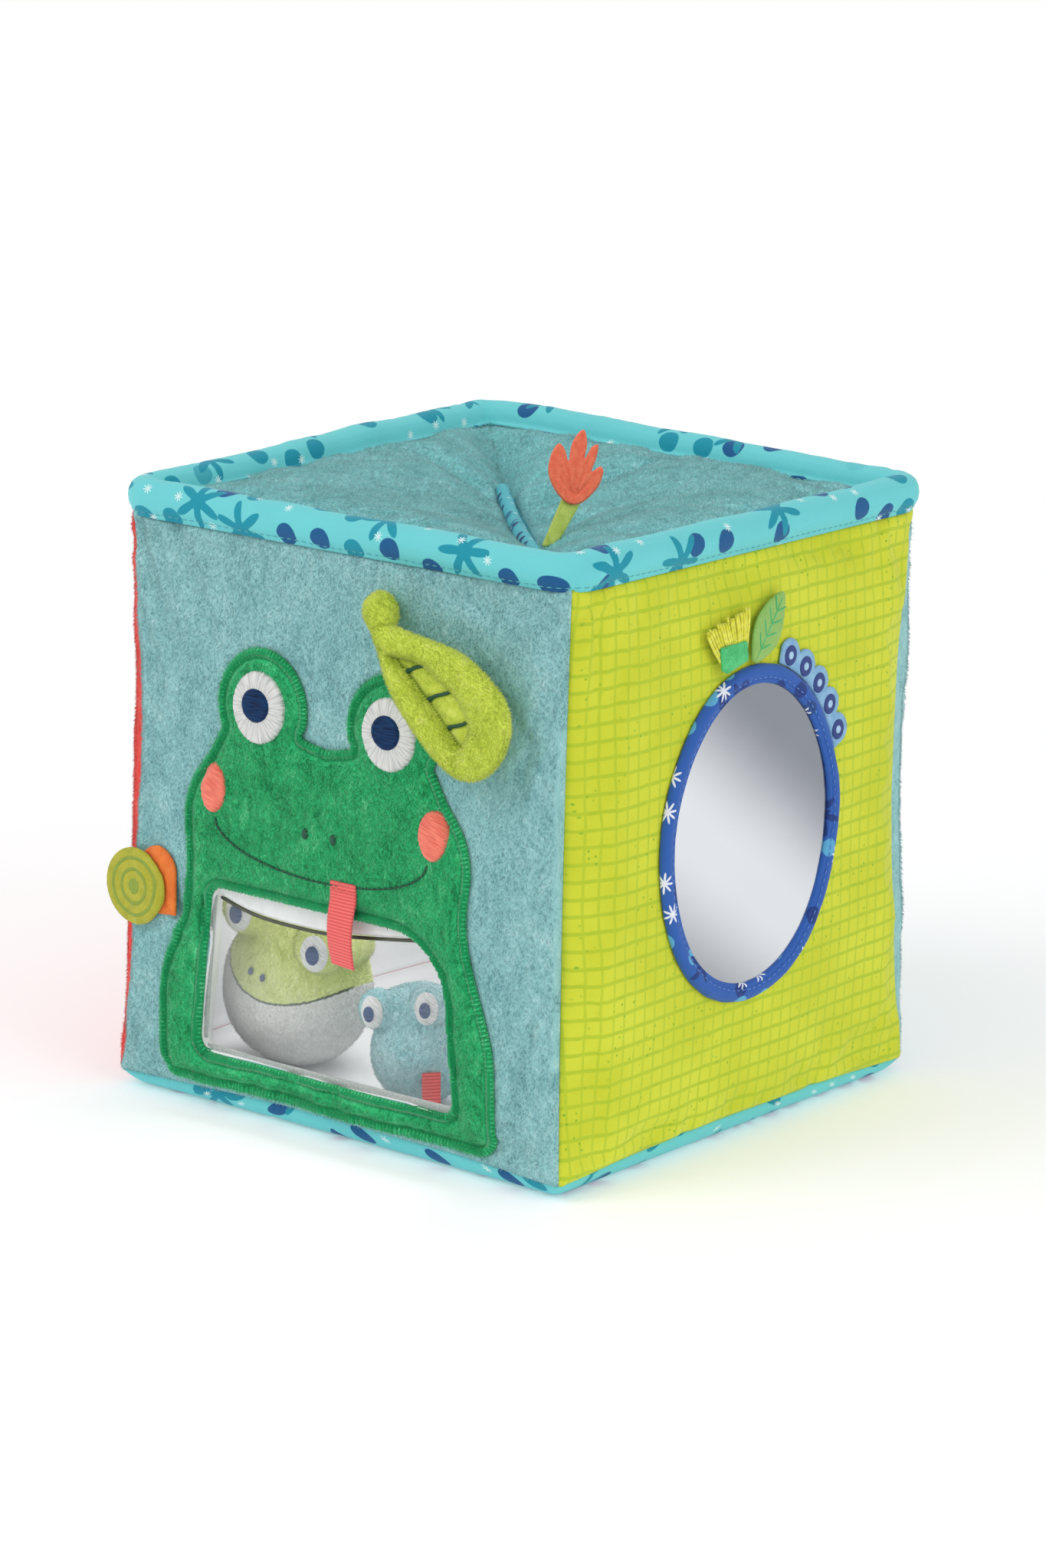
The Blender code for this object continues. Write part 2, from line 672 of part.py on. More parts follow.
leaf_start = LEAF_RIM / 2 + GAP
leaf_points = [(leaf_start + a * LEAF_LENGTH, b * LEAF_WIDTH) for a, b in leaf_shares]
leaf_loop = [leaf_place(*point) for point in smooth_run(leaf_points + leaf_points[:1], 2)[:-1]]
leaf_flap = tube("leaf_flap", [(x, -leaf_out, z) for x, z in leaf_loop], LEAF_RIM, LEAF_GREEN, True)
leaf_plate = prism("leaf_plate", leaf_loop, leaf_out - LEAF_PLATE / 2, leaf_out + LEAF_PLATE / 2)
boolean(leaf_flap, leaf_plate, "UNION")
place(leaf_plate, FRONT)
place(leaf_flap, FRONT)
leaf_hinge = leaf_place(GAP, 0)
leaf_axis = settle(Vector((leaf_hinge[0], -leaf_out - LEAF_RIM / 2, leaf_hinge[1])))
leaf_plate.data.transform(Matrix.Translation(-leaf_axis))
leaf_plate.location = leaf_axis
set_axis(leaf_flap, leaf_axis)

stalk_shares = ((0.02, 0.0, 1.0), (0.3, 0.02, 0.85), (0.6, 0.0, 0.45), (0.85, 0.08, 0.1), (1.0, 0.2, 0.0))
stalk_points = []
stalk_scales = []
for along, across, height in stalk_shares:
    thickness = STALK_NECK + (STALK_KNOB - STALK_NECK) * math.sin(math.pi * along * 0.75) ** 2
    x, z = leaf_place(-along * STALK_LENGTH, -across * STALK_LENGTH)
    seat = wall_out(x, z) + on_cover + thickness / 2
    stalk_points.append((x, -seat - (leaf_out - seat) * height, z))
    stalk_scales.append(thickness / STALK_KNOB)
place(tube("leaf_stalk", stalk_points, STALK_KNOB, LEAF_GREEN, False, stalk_scales), FRONT)

# Mirror: a backing, a silvered film and a bias ring that holds both down
mirror_centre = (MIRROR_PLACE, MIRROR_HEIGHT)
film_size = (MIRROR_WIDTH + 2 * RING_COVERS, MIRROR_LENGTH + 2 * RING_COVERS)
on_backing = on_cover + BACKING + GAP
patch("mirror_backing", RIGHT, oval(mirror_centre, *film_size, 36), on_cover, on_cover + BACKING, WHITE)
patch("mirror_film", RIGHT, oval(mirror_centre, *film_size, 36), on_backing, on_backing + MIRROR_FILM,
      FILM_CLEAR, roughness=0.05)
ring_size = (MIRROR_WIDTH + 2 * RING_WIDTH, MIRROR_LENGTH + 2 * RING_WIDTH)
ring = patch("mirror_ring", RIGHT, oval(mirror_centre, *ring_size, 36), on_cover, on_cover + RING, RING_BLUE)
ring_seat = patch("ring_seat", RIGHT, oval(mirror_centre, film_size[0] + 2 * GAP, film_size[1] + 2 * GAP, 36),
                  -GAP, on_backing + MIRROR_FILM + GAP, WHITE, collection=cutters)
ring_hole = place(prism("ring_hole", oval(mirror_centre, MIRROR_WIDTH, MIRROR_LENGTH, 36),
                        TOP_WIDTH / 4, TOP_WIDTH), RIGHT)
boolean(ring, ring_seat, "DIFFERENCE")
boolean(ring, ring_hole, "DIFFERENCE")


def on_ring(angle, extra):
    """Place on the right wall of a point just off the ring, its angle from the top."""
    a = math.radians(angle)
    return (MIRROR_PLACE + (ring_size[0] / 2 + extra) * math.sin(a),
            MIRROR_HEIGHT + (ring_size[1] / 2 + extra) * math.cos(a))


def turned(points, root, degrees):
    """Points given along and across a direction from a root, the angle from the horizontal."""
    a = math.radians(degrees)
    return [(root[0] + x * math.cos(a) - y * math.sin(a), root[1] + x * math.sin(a) + y * math.cos(a))
            for x, y in points]


# Tags sewn under the upper edge of the ring: scalloped band, leaf, fringe on a ribbon
scallop_angles = [SCALLOP_START + SCALLOP_STEP * n for n in range(SCALLOP_COUNT)]
scallop_inner = [on_ring(a, TAG_CLEAR) for a in
                 (scallop_angles[0] - SCALLOP_STEP / 2, *scallop_angles, scallop_angles[-1] + SCALLOP_STEP / 2)]
scallop_outline = list(scallop_inner)
for angle in reversed(scallop_angles):
    centre = on_ring(angle, TAG_CLEAR + SCALLOP_BAND - SCALLOP_RADIUS / 2)
    face_angle = 90 - angle
    scallop_outline += arc(centre, SCALLOP_RADIUS, face_angle - 70, face_angle + 70, 5)
scallop_out = clear_of_wall(scallop_outline, RIGHT)
flat_piece("scallop_tag", RIGHT, scallop_outline, scallop_out, TAG, RING_BLUE)

leaf_tag_root = on_ring(0, TAG_CLEAR + TAG)
leaf_tag_root = (LEAF_TAG_PLACE, leaf_tag_root[1])
leaf_tag_shares = ((0, 0.12), (0, -0.12), (0.25, -0.42), (0.5, -0.5), (0.78, -0.33), (1, 0),
                   (0.78, 0.33), (0.5, 0.5), (0.25, 0.42))
leaf_tag_points = [(a * LEAF_TAG_LENGTH, b * LEAF_TAG_WIDTH) for a, b in leaf_tag_shares]
leaf_tag_out = scallop_out + TAG + TAG_CLEAR
leaf_tag = flat_piece("leaf_tag", RIGHT, turned(leaf_tag_points, leaf_tag_root, LEAF_TAG_TURN),
                      leaf_tag_out, TAG, GREEN)
leaf_tag_line = turned([(TAG / 2, 0)], leaf_tag_root, LEAF_TAG_TURN)[0]
set_axis(leaf_tag, settle(Vector((leaf_tag_out + TAG / 2, *leaf_tag_line))))

fringe_root = (FRINGE_PLACE, leaf_tag_root[1])
fringe_points = [(0, -FRINGE_WIDTH / 4), (FRINGE_LENGTH - FRINGE_CUT_DEPTH, -FRINGE_WIDTH / 2)]
for n in range(FRINGE_CUTS + 1):
    strand = (FRINGE_WIDTH - FRINGE_CUTS * FRINGE_CUT) / (FRINGE_CUTS + 1)
    start = -FRINGE_WIDTH / 2 + n * (strand + FRINGE_CUT)
    fringe_points += [(FRINGE_LENGTH, start), (FRINGE_LENGTH, start + strand)]
    if n < FRINGE_CUTS:
        inner = FRINGE_LENGTH - FRINGE_CUT_DEPTH
        fringe_points += [(inner, start + strand), (inner, start + strand + FRINGE_CUT)]
fringe_points += [(FRINGE_LENGTH - FRINGE_CUT_DEPTH, FRINGE_WIDTH / 2), (0, FRINGE_WIDTH / 4)]
ribbon_height = FRINGE_WIDTH / 2
fringe_ribbon_outline = turned(
    [(0, -ribbon_height / 2), (FRINGE_LENGTH / 2, -ribbon_height / 2),
     (FRINGE_LENGTH / 2, ribbon_height / 2), (0, ribbon_height / 2)], fringe_root, FRINGE_TURN)
fringe_out = clear_of_wall(fringe_ribbon_outline, RIGHT)
fringe_ribbon = flat_piece("fringe_ribbon", RIGHT, fringe_ribbon_outline, fringe_out, TAG, GREEN)
fringe_tag = flat_piece("fringe_tag", RIGHT, turned(fringe_points, fringe_root, FRINGE_TURN),
                        fringe_out + TAG + GAP, TAG, LIME)
fringe_line = turned([(TAG / 2, 0)], fringe_root, FRINGE_TURN)[0]
for fringe_piece in (fringe_tag, fringe_ribbon):
    set_axis(fringe_piece, settle(Vector((fringe_out + TAG, *fringe_line))))

# Tag in the left edge of the appliqué: a round disc over a rounded tab
tab_corners = (
    (-DISC_TAG_ROOT - DISC_TAG_REACH, DISC_TAG_HEIGHT - DISC_TAG_STRAP / 2),
    (-DISC_TAG_ROOT, DISC_TAG_HEIGHT - DISC_TAG_STRAP / 2),
    (-DISC_TAG_ROOT, DISC_TAG_HEIGHT + PETAL_TAG_HEIGHT / 2),
    (-DISC_TAG_ROOT - DISC_TAG_REACH, DISC_TAG_HEIGHT + PETAL_TAG_HEIGHT / 2),
)
tab_radii = (PETAL_TAG_HEIGHT / 6, TAG / 2, PETAL_TAG_HEIGHT / 4, PETAL_TAG_HEIGHT / 3)
disc_out = clear_of_wall(tab_corners, FRONT)
disc_tag_back = flat_piece("disc_tag_back", FRONT, rounded(tab_corners, tab_radii), disc_out, TAG, CORAL)
disc_centre = (-DISC_TAG_ROOT - DISC_TAG_REACH, DISC_TAG_HEIGHT)
disc_tag = flat_piece("disc_tag", FRONT, oval(disc_centre, DISC_TAG_DIAMETER, DISC_TAG_DIAMETER),
                      disc_out + TAG + GAP, TAG, LEAF_GREEN)
disc_axis = settle(Vector((-DISC_TAG_ROOT - TAG / 2, -disc_out - TAG / 2, DISC_TAG_HEIGHT)))
for disc_piece in (disc_tag, disc_tag_back):
    set_axis(disc_piece, disc_axis)

# Crest tag on the right lip of the slit: a folded stem with a lobed crest over it
crest_side = lip(CREST_ALONG) + SLIT_BINDING / 2
crest_foot = top_rise(CREST_ALONG, crest_side) + (SLIT_BINDING - TOP_COVER - TOP_LINING) / 2
crest_root = Vector((CREST_ALONG, crest_side, crest_foot + GAP))
crest_frame = (DIAGONAL @ Matrix.Translation(crest_root)
               @ Matrix.Rotation(math.radians(CREST_TURN + 45), 4, "Z")
               @ Matrix.Rotation(math.radians(-CREST_LEAN), 4, "X"))


def crest_piece(name, outline, lift, color):
    """Flat tag that stands on the top, made upright at the origin and then set on its root."""
    obj = prism(name, outline, lift, lift + TAG, color, parts)
    obj.data.transform(crest_frame)
    return place(obj, FRONT)


stem_foot = TAG * (math.sqrt(2) - 1) / 2
stem_outline = [(-CREST_STEM_WIDTH / 3, stem_foot), (CREST_STEM_WIDTH / 3, stem_foot),
                (CREST_BEND + CREST_STEM_WIDTH / 2, CREST_STEM_LENGTH),
                (CREST_BEND - CREST_STEM_WIDTH / 2, CREST_STEM_LENGTH)]
crest_stem = crest_piece("crest_stem", stem_outline, -TAG / 2, LEAF_GREEN)
crest_shares = ((0.0, 0.0), (0.22, 0.08), (0.48, 0.34), (0.36, 0.42), (0.50, 0.62), (0.28, 0.56),
                (0.16, 1.0), (-0.06, 0.92), (-0.10, 0.60), (-0.30, 0.76), (-0.50, 0.52), (-0.34, 0.16))
crest_points = [(CREST_BEND + x * CREST_WIDTH, CREST_STEM_LENGTH - CREST_STEM_WIDTH / 2 + z * CREST_LENGTH)
                for x, z in crest_shares]
crest_tag = crest_piece("crest_tag", crest_points, TAG / 2 + GAP, CORAL)
crest_axis = settle(crest_frame @ Vector((0, 0, stem_foot + TAG / 2)))
for crest in (crest_stem, crest_tag):
    set_axis(crest, crest_axis)

# Round patch on the back wall
patch("back_patch", BACK, oval((-BACK_PATCH_PLACE, BACK_PATCH_HEIGHT), BACK_PATCH_DIAMETER, BACK_PATCH_DIAMETER, 32),
      on_cover, on_cover + APPLIQUE, GREEN)

# Two loose toys that stand on the base inside the box
def ball(name, centre, size, color, rings=8, collection=parts):
    """Stuffed ball, stretched to its three sizes."""
    bm = bmesh.new()
    bmesh.ops.create_uvsphere(bm, u_segments=rings * 2, v_segments=rings, radius=0.5)
    bmesh.ops.triangulate(bm, faces=bm.faces[:])
    bmesh.ops.transform(bm, matrix=Matrix.Translation(centre) @ Matrix.Diagonal((*size, 1)), verts=bm.verts[:])
    mesh = bpy.data.meshes.new(name)
    bm.to_mesh(mesh)
    bm.free()
    mesh.shade_smooth()
    return add(name, mesh, color, 0.9, 0.0, collection)


def swell(obj, centre, size):
    """Widens the lower part of a toy and narrows the upper."""
    for vert in obj.data.vertices:
        spread = 1 - TOY_TAPER * (vert.co.z - centre.z) / size[2]
        vert.co.x = centre.x + (vert.co.x - centre.x) * spread
        vert.co.y = centre.y + (vert.co.y - centre.y) * spread


def toy_middle(x, front, size):
    """Middle of a toy that stands on the base, its front at a distance from the wall's lining."""
    y = front + size[1] / 2 + WALL_DEPTH - wall_out(x, size[2] / 2)
    floor = base_point(2 * x / BASE_WIDTH, 2 * y / BASE_WIDTH, SEAM_DEPTH, WALL_DEPTH).z
    return Vector((x, y, floor + GAP + size[2] / 2))


def toy(name, x, front, size, dome, spread, disc, tilt, turn, color, smile=None):
    """Stuffed toy: a ball that widens downwards, with two eye domes and an eye disc on each."""
    centre = toy_middle(x, front, size)
    roll = Matrix.Rotation(math.radians(turn), 4, "Z") @ Matrix.Rotation(math.radians(tilt), 4, "Y")
    body = ball(name + "_head", centre, size, color, 9)
    swell(body, centre, size)
    if smile:
        boolean(body, smile(name, centre, roll, SMILE_RADIUS - GAP), "INTERSECT")
    for side, hand in ((-1, "left"), (1, "right")):
        offset = Vector((side * spread / 2, (dome - size[1]) / 2, size[2] / 2 - dome / 4))
        spot = centre + roll @ offset
        dome_ball = place(ball(name + "_dome", spot, (dome, dome, dome), color, 6, cutters), FRONT)
        boolean(body, dome_ball, "UNION")
        eye_face = offset - Vector((0, (dome + TOY_EYE) / 2 + GAP, 0))
        place(puck(name + "_eye_" + hand, centre, roll, eye_face, disc, TOY_EYE, WHITE), FRONT)
    return centre, roll, body


def puck(name, centre, roll, offset, diameter, depth, color, collection=parts):
    """Round disc or roller on a toy, its axis along the toy's line of sight."""
    bm = bmesh.new()
    bmesh.ops.create_cone(bm, cap_ends=True, segments=24,
                          radius1=diameter / 2, radius2=diameter / 2, depth=depth)
    lying = Matrix.Translation(offset) @ Matrix.Rotation(math.pi / 2, 4, "X")
    bmesh.ops.transform(bm, matrix=Matrix.Translation(centre) @ roll @ lying, verts=bm.verts[:])
    mesh = bpy.data.meshes.new(name)
    bm.to_mesh(mesh)
    bm.free()
    return add(name, mesh, color, 0.9, 0.0, collection)


def smile_roller(name, centre, roll, radius):
    """Roller whose lower side is the curved seam of a wide smile."""
    rise = Vector((0, 0, SMILE_RADIUS - SMILE_DROP))
    return place(puck(name + "_smile", centre, roll, rise, 2 * radius, 2 * GREEN_DEPTH, WHITE, cutters), FRONT)


green_size = (GREEN_WIDTH, GREEN_DEPTH, GREEN_HEIGHT)
green_middle, green_roll, green_head = toy("green_toy", GREEN_X, GREEN_FRONT, green_size, GREEN_EYE_DOME,
                                           GREEN_EYE_SPREAD, GREEN_EYE_DISC, GREEN_TILT, GREEN_TURN,
                                           LEAF_GREEN, smile_roller)
blue_size = (BLUE_WIDTH, BLUE_DEPTH, BLUE_HEIGHT)
blue_middle, blue_roll, blue_head = toy("blue_toy", BLUE_X, BLUE_FRONT, blue_size, BLUE_EYE_DOME,
                                        BLUE_EYE_SPREAD, BLUE_EYE_DISC, BLUE_TILT, BLUE_TURN, PLUSH_BLUE)

# The green toy's pale belly is sewn on along its smile
green_belly = ball("green_toy_belly", green_middle, green_size, WHITE, 9)
swell(green_belly, green_middle, green_size)
boolean(green_belly, smile_roller("green_belly", green_middle, green_roll, SMILE_RADIUS), "DIFFERENCE")
for toy_body in (green_belly, green_head, blue_head):
    place(toy_body, FRONT)

# Short ribbon on the blue toy's mouth
toy_ribbon_outline = [
    (-BLUE_RIBBON_WIDTH / 2, -BLUE_RIBBON_DROP - BLUE_RIBBON_LENGTH),
    (BLUE_RIBBON_WIDTH / 2, -BLUE_RIBBON_DROP - BLUE_RIBBON_LENGTH),
    (BLUE_RIBBON_WIDTH / 2, -BLUE_RIBBON_DROP),
    (-BLUE_RIBBON_WIDTH / 2, -BLUE_RIBBON_DROP),
]
toy_ribbon = prism("blue_toy_ribbon", toy_ribbon_outline, BLUE_WIDTH / 2 + GAP, BLUE_WIDTH / 2 + GAP + RIBBON,
                   CORAL, parts)
toy_ribbon.data.transform(Matrix.Translation(blue_middle)
                          @ Matrix.Rotation(math.radians(BLUE_RIBBON_TURN), 4, "Z"))
place(toy_ribbon, FRONT)
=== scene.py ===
import math

import bmesh
import bpy
import numpy as np
from mathutils import Matrix, Vector, noise
from mathutils.bvhtree import BVHTree


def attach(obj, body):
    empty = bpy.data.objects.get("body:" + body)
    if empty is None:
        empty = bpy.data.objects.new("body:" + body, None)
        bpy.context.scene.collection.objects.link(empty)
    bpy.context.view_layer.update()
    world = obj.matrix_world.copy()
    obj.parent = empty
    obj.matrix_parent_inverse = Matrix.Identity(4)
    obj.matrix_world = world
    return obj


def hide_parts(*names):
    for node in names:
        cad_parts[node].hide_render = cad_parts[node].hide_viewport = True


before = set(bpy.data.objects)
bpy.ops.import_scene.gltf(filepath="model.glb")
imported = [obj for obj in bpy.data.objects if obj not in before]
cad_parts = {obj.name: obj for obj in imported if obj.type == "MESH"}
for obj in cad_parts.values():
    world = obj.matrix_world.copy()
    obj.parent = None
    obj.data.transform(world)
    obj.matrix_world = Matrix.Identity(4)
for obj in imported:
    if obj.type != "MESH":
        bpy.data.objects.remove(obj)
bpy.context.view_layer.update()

# Studio: a pale seamless floor under an even white surround, a big soft lamp high
# on the left, a weaker one on the right and a faint one inside the box. The camera
# looks at the edge between the front and the right wall, through a long lens.
FRAME_LONG = 2047
FOCAL = 6577.8
SENSOR = 36.0
turn_view, tilt_view, roll_view = math.radians(38.53), math.radians(14.04), math.radians(1.139)
to_camera = Vector((math.sin(turn_view) * math.cos(tilt_view), -math.cos(turn_view) * math.cos(tilt_view),
                    math.sin(tilt_view)))
level_right = Vector((math.cos(turn_view), math.sin(turn_view), 0))
level_up = to_camera.cross(level_right)
camera_right = level_right * math.cos(roll_view) + level_up * math.sin(roll_view)
camera_up = level_up * math.cos(roll_view) - level_right * math.sin(roll_view)
camera_place = Vector((1.00227, -1.25673, 0.50294))

camera_data = bpy.data.cameras.new("camera")
camera_data.sensor_width = SENSOR
camera_data.lens = FOCAL * SENSOR / FRAME_LONG
camera_data.clip_start, camera_data.clip_end = 0.1, 30
camera = bpy.data.objects.new("camera", camera_data)
camera.matrix_world = Matrix.Translation(camera_place) @ Matrix(
    (camera_right, camera_up, to_camera)).transposed().to_4x4()
bpy.context.scene.collection.objects.link(camera)
bpy.context.scene.camera = camera
bpy.context.scene.view_settings.view_transform = "Standard"


def lamp(name, place, aim, width, energy):
    """Large square soft lamp."""
    data = bpy.data.lights.new(name, "AREA")
    data.shape = "SQUARE"
    data.size = width
    data.energy = energy
    obj = bpy.data.objects.new(name, data)
    obj.location = place
    obj.rotation_euler = (Vector(aim) - Vector(place)).to_track_quat("-Z", "Y").to_euler()
    bpy.context.scene.collection.objects.link(obj)


lamp("key_lamp", (-0.9, -1.5, 1.7), (0, 0, 0.1), 1.3, 15.0)
lamp("side_lamp", (1.9, -0.2, 1.1), (0, 0, 0.1), 1.4, 9.0)
lamp("daylight_through_the_cloth", (-0.01, 0.0, 0.165), (-0.01, -0.03, 0), 0.11, 0.11)


class Dye:
    """A number, colour or place that a material's nodes work out, so that a finish is written as sums."""

    def __init__(self, tree, socket):
        self.tree = tree
        self.socket = socket

    def node(self, kind, sockets=(), output=0, stops=(), **settings):
        """Any other node: its type, its settings, which are set first, and its sockets' values or links."""
        made = self.tree.nodes.new("ShaderNode" + kind)
        for name, value in settings.items():
            setattr(made, name, value)
        for n, (share, color) in enumerate(stops):
            points = made.color_ramp.elements
            point = points[n] if n < 2 else points.new(share)
            point.position = share
            point.color = color
        for key, value in dict(sockets).items():
            if isinstance(value, Dye):
                self.tree.links.new(value.socket, made.inputs[key])
            else:
                made.inputs[key].default_value = value
        return Dye(self.tree, made.outputs[output])

    def sum(self, operation, *others):
        """One kind of sum, of this and any others."""
        return self.node("Math", enumerate((self, *others)), operation=operation)

    def __add__(self, other):
        return self.sum("ADD", other)

    __radd__ = __add__

    def __sub__(self, other):
        return self.sum("SUBTRACT", other)

    def __rsub__(self, other):
        return self.node("Math", enumerate((other, self)), operation="SUBTRACT")

    def __mul__(self, other):
        return self.sum("MULTIPLY", other)

    __rmul__ = __mul__

    def __truediv__(self, other):
        return self.sum("DIVIDE", other)

    def __pow__(self, other):
        return self.sum("POWER", other)

    def step(self, low, high):
        """0 below low, 1 above high, and smooth between them."""
        return self.node("MapRange", {"Value": self, "From Min": low, "From Max": high},
                         interpolation_type="SMOOTHSTEP")

    def among(self, first, second):
        """First colour where this is 0, second where it is 1."""
        return self.node("Mix", {0: self, 6: first, 7: second}, 2, data_type="RGBA")

    def part(self, n):
        """One of the three numbers of a place."""
        return self.node("SeparateXYZ", {0: self}, n)

    def stretched(self, *scales):
        """A place, scaled along its three axes."""
        return self.node("VectorMath", {0: self, 1: scales}, operation="MULTIPLY")

    def shifted(self, other):
        """A place, moved by another."""
        return self.node("VectorMath", {0: self, 1: other}, operation="ADD")

    def length(self):
        """How far a place is from the origin."""
        return self.node("VectorMath", {0: self}, 1, operation="LENGTH")

    def speckle(self, size, detail=2.0, output=0):
        """Soft noise whose spots are about this size in metres."""
        return self.node("TexNoise", {"Vector": self, "Scale": 1 / size, "Detail": detail}, output)

    def feed(self, shader, name):
        self.tree.links.new(self.socket, shader.inputs[name])

    def emboss(self, shader, depth, strength=1.0):
        """Uses this as the relief of the surface, in metres."""
        raised = self.node("Bump", {"Height": self, "Distance": depth, "Strength": strength})
        raised.feed(shader, "Normal")


def finish(name, **even):
    """New material: the values that are even over the surface are set on its shader."""
    material = bpy.data.materials.new(name)
    material.use_nodes = True
    shader = material.node_tree.nodes["Principled BSDF"]
    for key, value in even.items():
        shader.inputs[key.replace("_", " ")].default_value = value
    spot = material.node_tree.nodes.new("ShaderNodeTexCoord")
    return material, shader, Dye(material.node_tree, spot.outputs["Object"])


def ink(red, green, blue):
    """Colour from its everyday 0 to 255 numbers."""
    return tuple(c / 12.92 if c <= 0.04045 else ((c + 0.055) / 1.055) ** 2.4
                 for c in (red / 255, green / 255, blue / 255)) + (1.0,)


world = bpy.data.worlds.new("surround")
bpy.context.scene.world = world
world.use_nodes = True
surround = world.node_tree.nodes["Background"]
path = world.node_tree.nodes.new("ShaderNodeLightPath")
seen = Dye(world.node_tree, path.outputs["Is Camera Ray"])
for other in ("Is Glossy Ray", "Is Transmission Ray"):
    seen = seen.sum("MAXIMUM", Dye(world.node_tree, path.outputs[other]))
surround.inputs["Color"].default_value = (1, 1, 1, 1)
(0.68 + seen * 0.32).feed(surround, "Strength")


def as_object(name, bm):
    """Object of a form, in the scene."""
    mesh = bpy.data.meshes.new(name)
    bm.to_mesh(mesh)
    obj = bpy.data.objects.new(name, mesh)
    bpy.context.scene.collection.objects.link(obj)
    return obj


bm = bmesh.new()
bmesh.ops.create_grid(bm, x_segments=8, y_segments=8, size=3)
floor = as_object("studio_floor", bm)
bm.free()
floor_finish, shader, spot = finish("floor_paper", Roughness=0.9, Emission_Color=(1, 1, 1, 1),
                                    Emission_Strength=0.2)
far = spot.length()
far.step(0.35, 0.9).among(ink(246, 246, 247), ink(255, 255, 255)).feed(shader, "Base Color")
(1 - far.step(0.4, 1.1)).feed(shader, "Alpha")
floor.data.materials.append(floor_finish)

# Side walls: four padded panels sewn to each other at the upright corners, each a
# cover, wadding and a white lining. Front and back are light-blue plush, the right
# one lime check cotton, the left one red plush, and the front dips at its side tag.
TOP_WIDTH = 0.180
BASE_WIDTH = 0.184
WALL_TOP = 0.189
SEAM_PINCH = 0.0042
PUFF_MIDDLE = 0.0085
PUFF_EDGE = 0.001
CROWN = 0.001
SHOULDER_RUN = 0.0075
BASE_PUFF = 0.0026
CORNER_LIFT = 0.0027
SEAM_ARCH = 0.0024
LEAN_X = 0.0028
LEAN_Y = 0.0043
BACK_RISE = 0.0010
CORNER_RISE = 0.0036
GAP = 0.0003
MITRE_GAP = 0.0002
SEAM_DEPTH = 0.0037
WALL_DEPTH = 0.0097
COVER = 0.0018
FRONT, RIGHT, BACK, LEFT = 0, 90, 180, 270
fullness_shares = {FRONT: 1.0, RIGHT: 0.95, BACK: 1.9, LEFT: 1.3}
rounding_shares = {FRONT: 1.0, RIGHT: 2.2, BACK: 1.0, LEFT: 1.0}
WINDOW_BASE_HALF = 0.0535
WINDOW_TOP_HALF = 0.0480
WINDOW_LOW = 0.0178
WINDOW_HIGH = 0.0738


def settle(point):
    """Where a point ends in the soft box: it leans and its back left corner stands high."""
    share = max(point.z, 0) / WALL_TOP
    far_share = 0.5 + point.y / TOP_WIDTH
    left_share = 0.5 - point.x / TOP_WIDTH
    rise = far_share * (BACK_RISE + (CORNER_RISE - BACK_RISE) * left_share)
    return Vector((point.x - LEAN_X * share, point.y + LEAN_Y * share, point.z + rise * share + BASE_PUFF))


def seam_half(w):
    """Half the distance between two upright seams, at the share w of the height."""
    return (BASE_WIDTH + (TOP_WIDTH - BASE_WIDTH) * w) / 2 - SEAM_PINCH * 4 * w * (1 - w)


def shoulder(distance, run=SHOULDER_RUN):
    """Rounding from a seam, 0, up to the flat of a piece, 1."""
    return math.sqrt(max(1 - (1 - min(distance / run, 1)) ** 2, 0))


def puff(u, w, turn):
    """How far a wall stands out from the line between its seams."""
    swell = max(4 * w * (1 - w), 0)
    height = PUFF_EDGE + (PUFF_MIDDLE - PUFF_EDGE) * swell ** 0.6
    rise = shoulder((1 - abs(u)) * seam_half(w), SHOULDER_RUN * rounding_shares[turn])
    return (height * rise + CROWN * (1 - u * u) * swell) * fullness_shares[turn]


def seam_height(u):
    """Height of the seam between a wall and the base: lowest at the corners."""
    return CORNER_LIFT + SEAM_ARCH * (1 - u * u)


def wall_point(u, v, at_seam, in_middle, turn):
    """Point of a wall at a depth under its outer face, as if it were the front."""
    w = (1 + v) / 2
    depth = at_seam + (in_middle - at_seam) * (1 - u ** 8) * (1 - v ** 8)
    low = seam_height(u) + at_seam + MITRE_GAP
    out = seam_half(w) + MITRE_GAP + puff(u, w, turn) - depth
    return Vector((u * (seam_half(w) - at_seam), -out, low + (WALL_TOP - low) * w))


def wall_out(across, height, turn=FRONT):
    """Distance from the middle of the box to the outer face of a wall, as it was cut."""
    w = (height - CORNER_LIFT) / (WALL_TOP - CORNER_LIFT)
    half = seam_half(w)
    return half + MITRE_GAP + puff(min(1, abs(across) / half), w, turn)


def rounded(corners, radii, steps=8):
    """Polygon with each corner rounded by its own radius."""
    outline = []
    for n in range(len(corners)):
        here = Vector(corners[n])
        back = (Vector(corners[n - 1]) - here).normalized()
        ahead = (Vector(corners[(n + 1) % len(corners)]) - here).normalized()
        half_turn = back.angle(ahead) / 2
        reach = radii[n] / math.tan(half_turn)
        start, end = here + back * reach, here + ahead * reach
        middle = here + (back + ahead).normalized() * radii[n] / math.sin(half_turn)
        for k in range(steps + 1):
            chord = start.lerp(end, k / steps) - middle
            outline.append(tuple(middle + chord.normalized() * radii[n]))
    return outline


def dense(outline, pitch):
    """The same closed outline with points no further apart than the pitch."""
    run = []
    for n in range(len(outline)):
        a, b = Vector(outline[n - 1]), Vector(outline[n])
        count = max(1, math.ceil((b - a).length / pitch))
        run += [tuple(a.lerp(b, k / count)) for k in range(count)]
    return np.array(run)


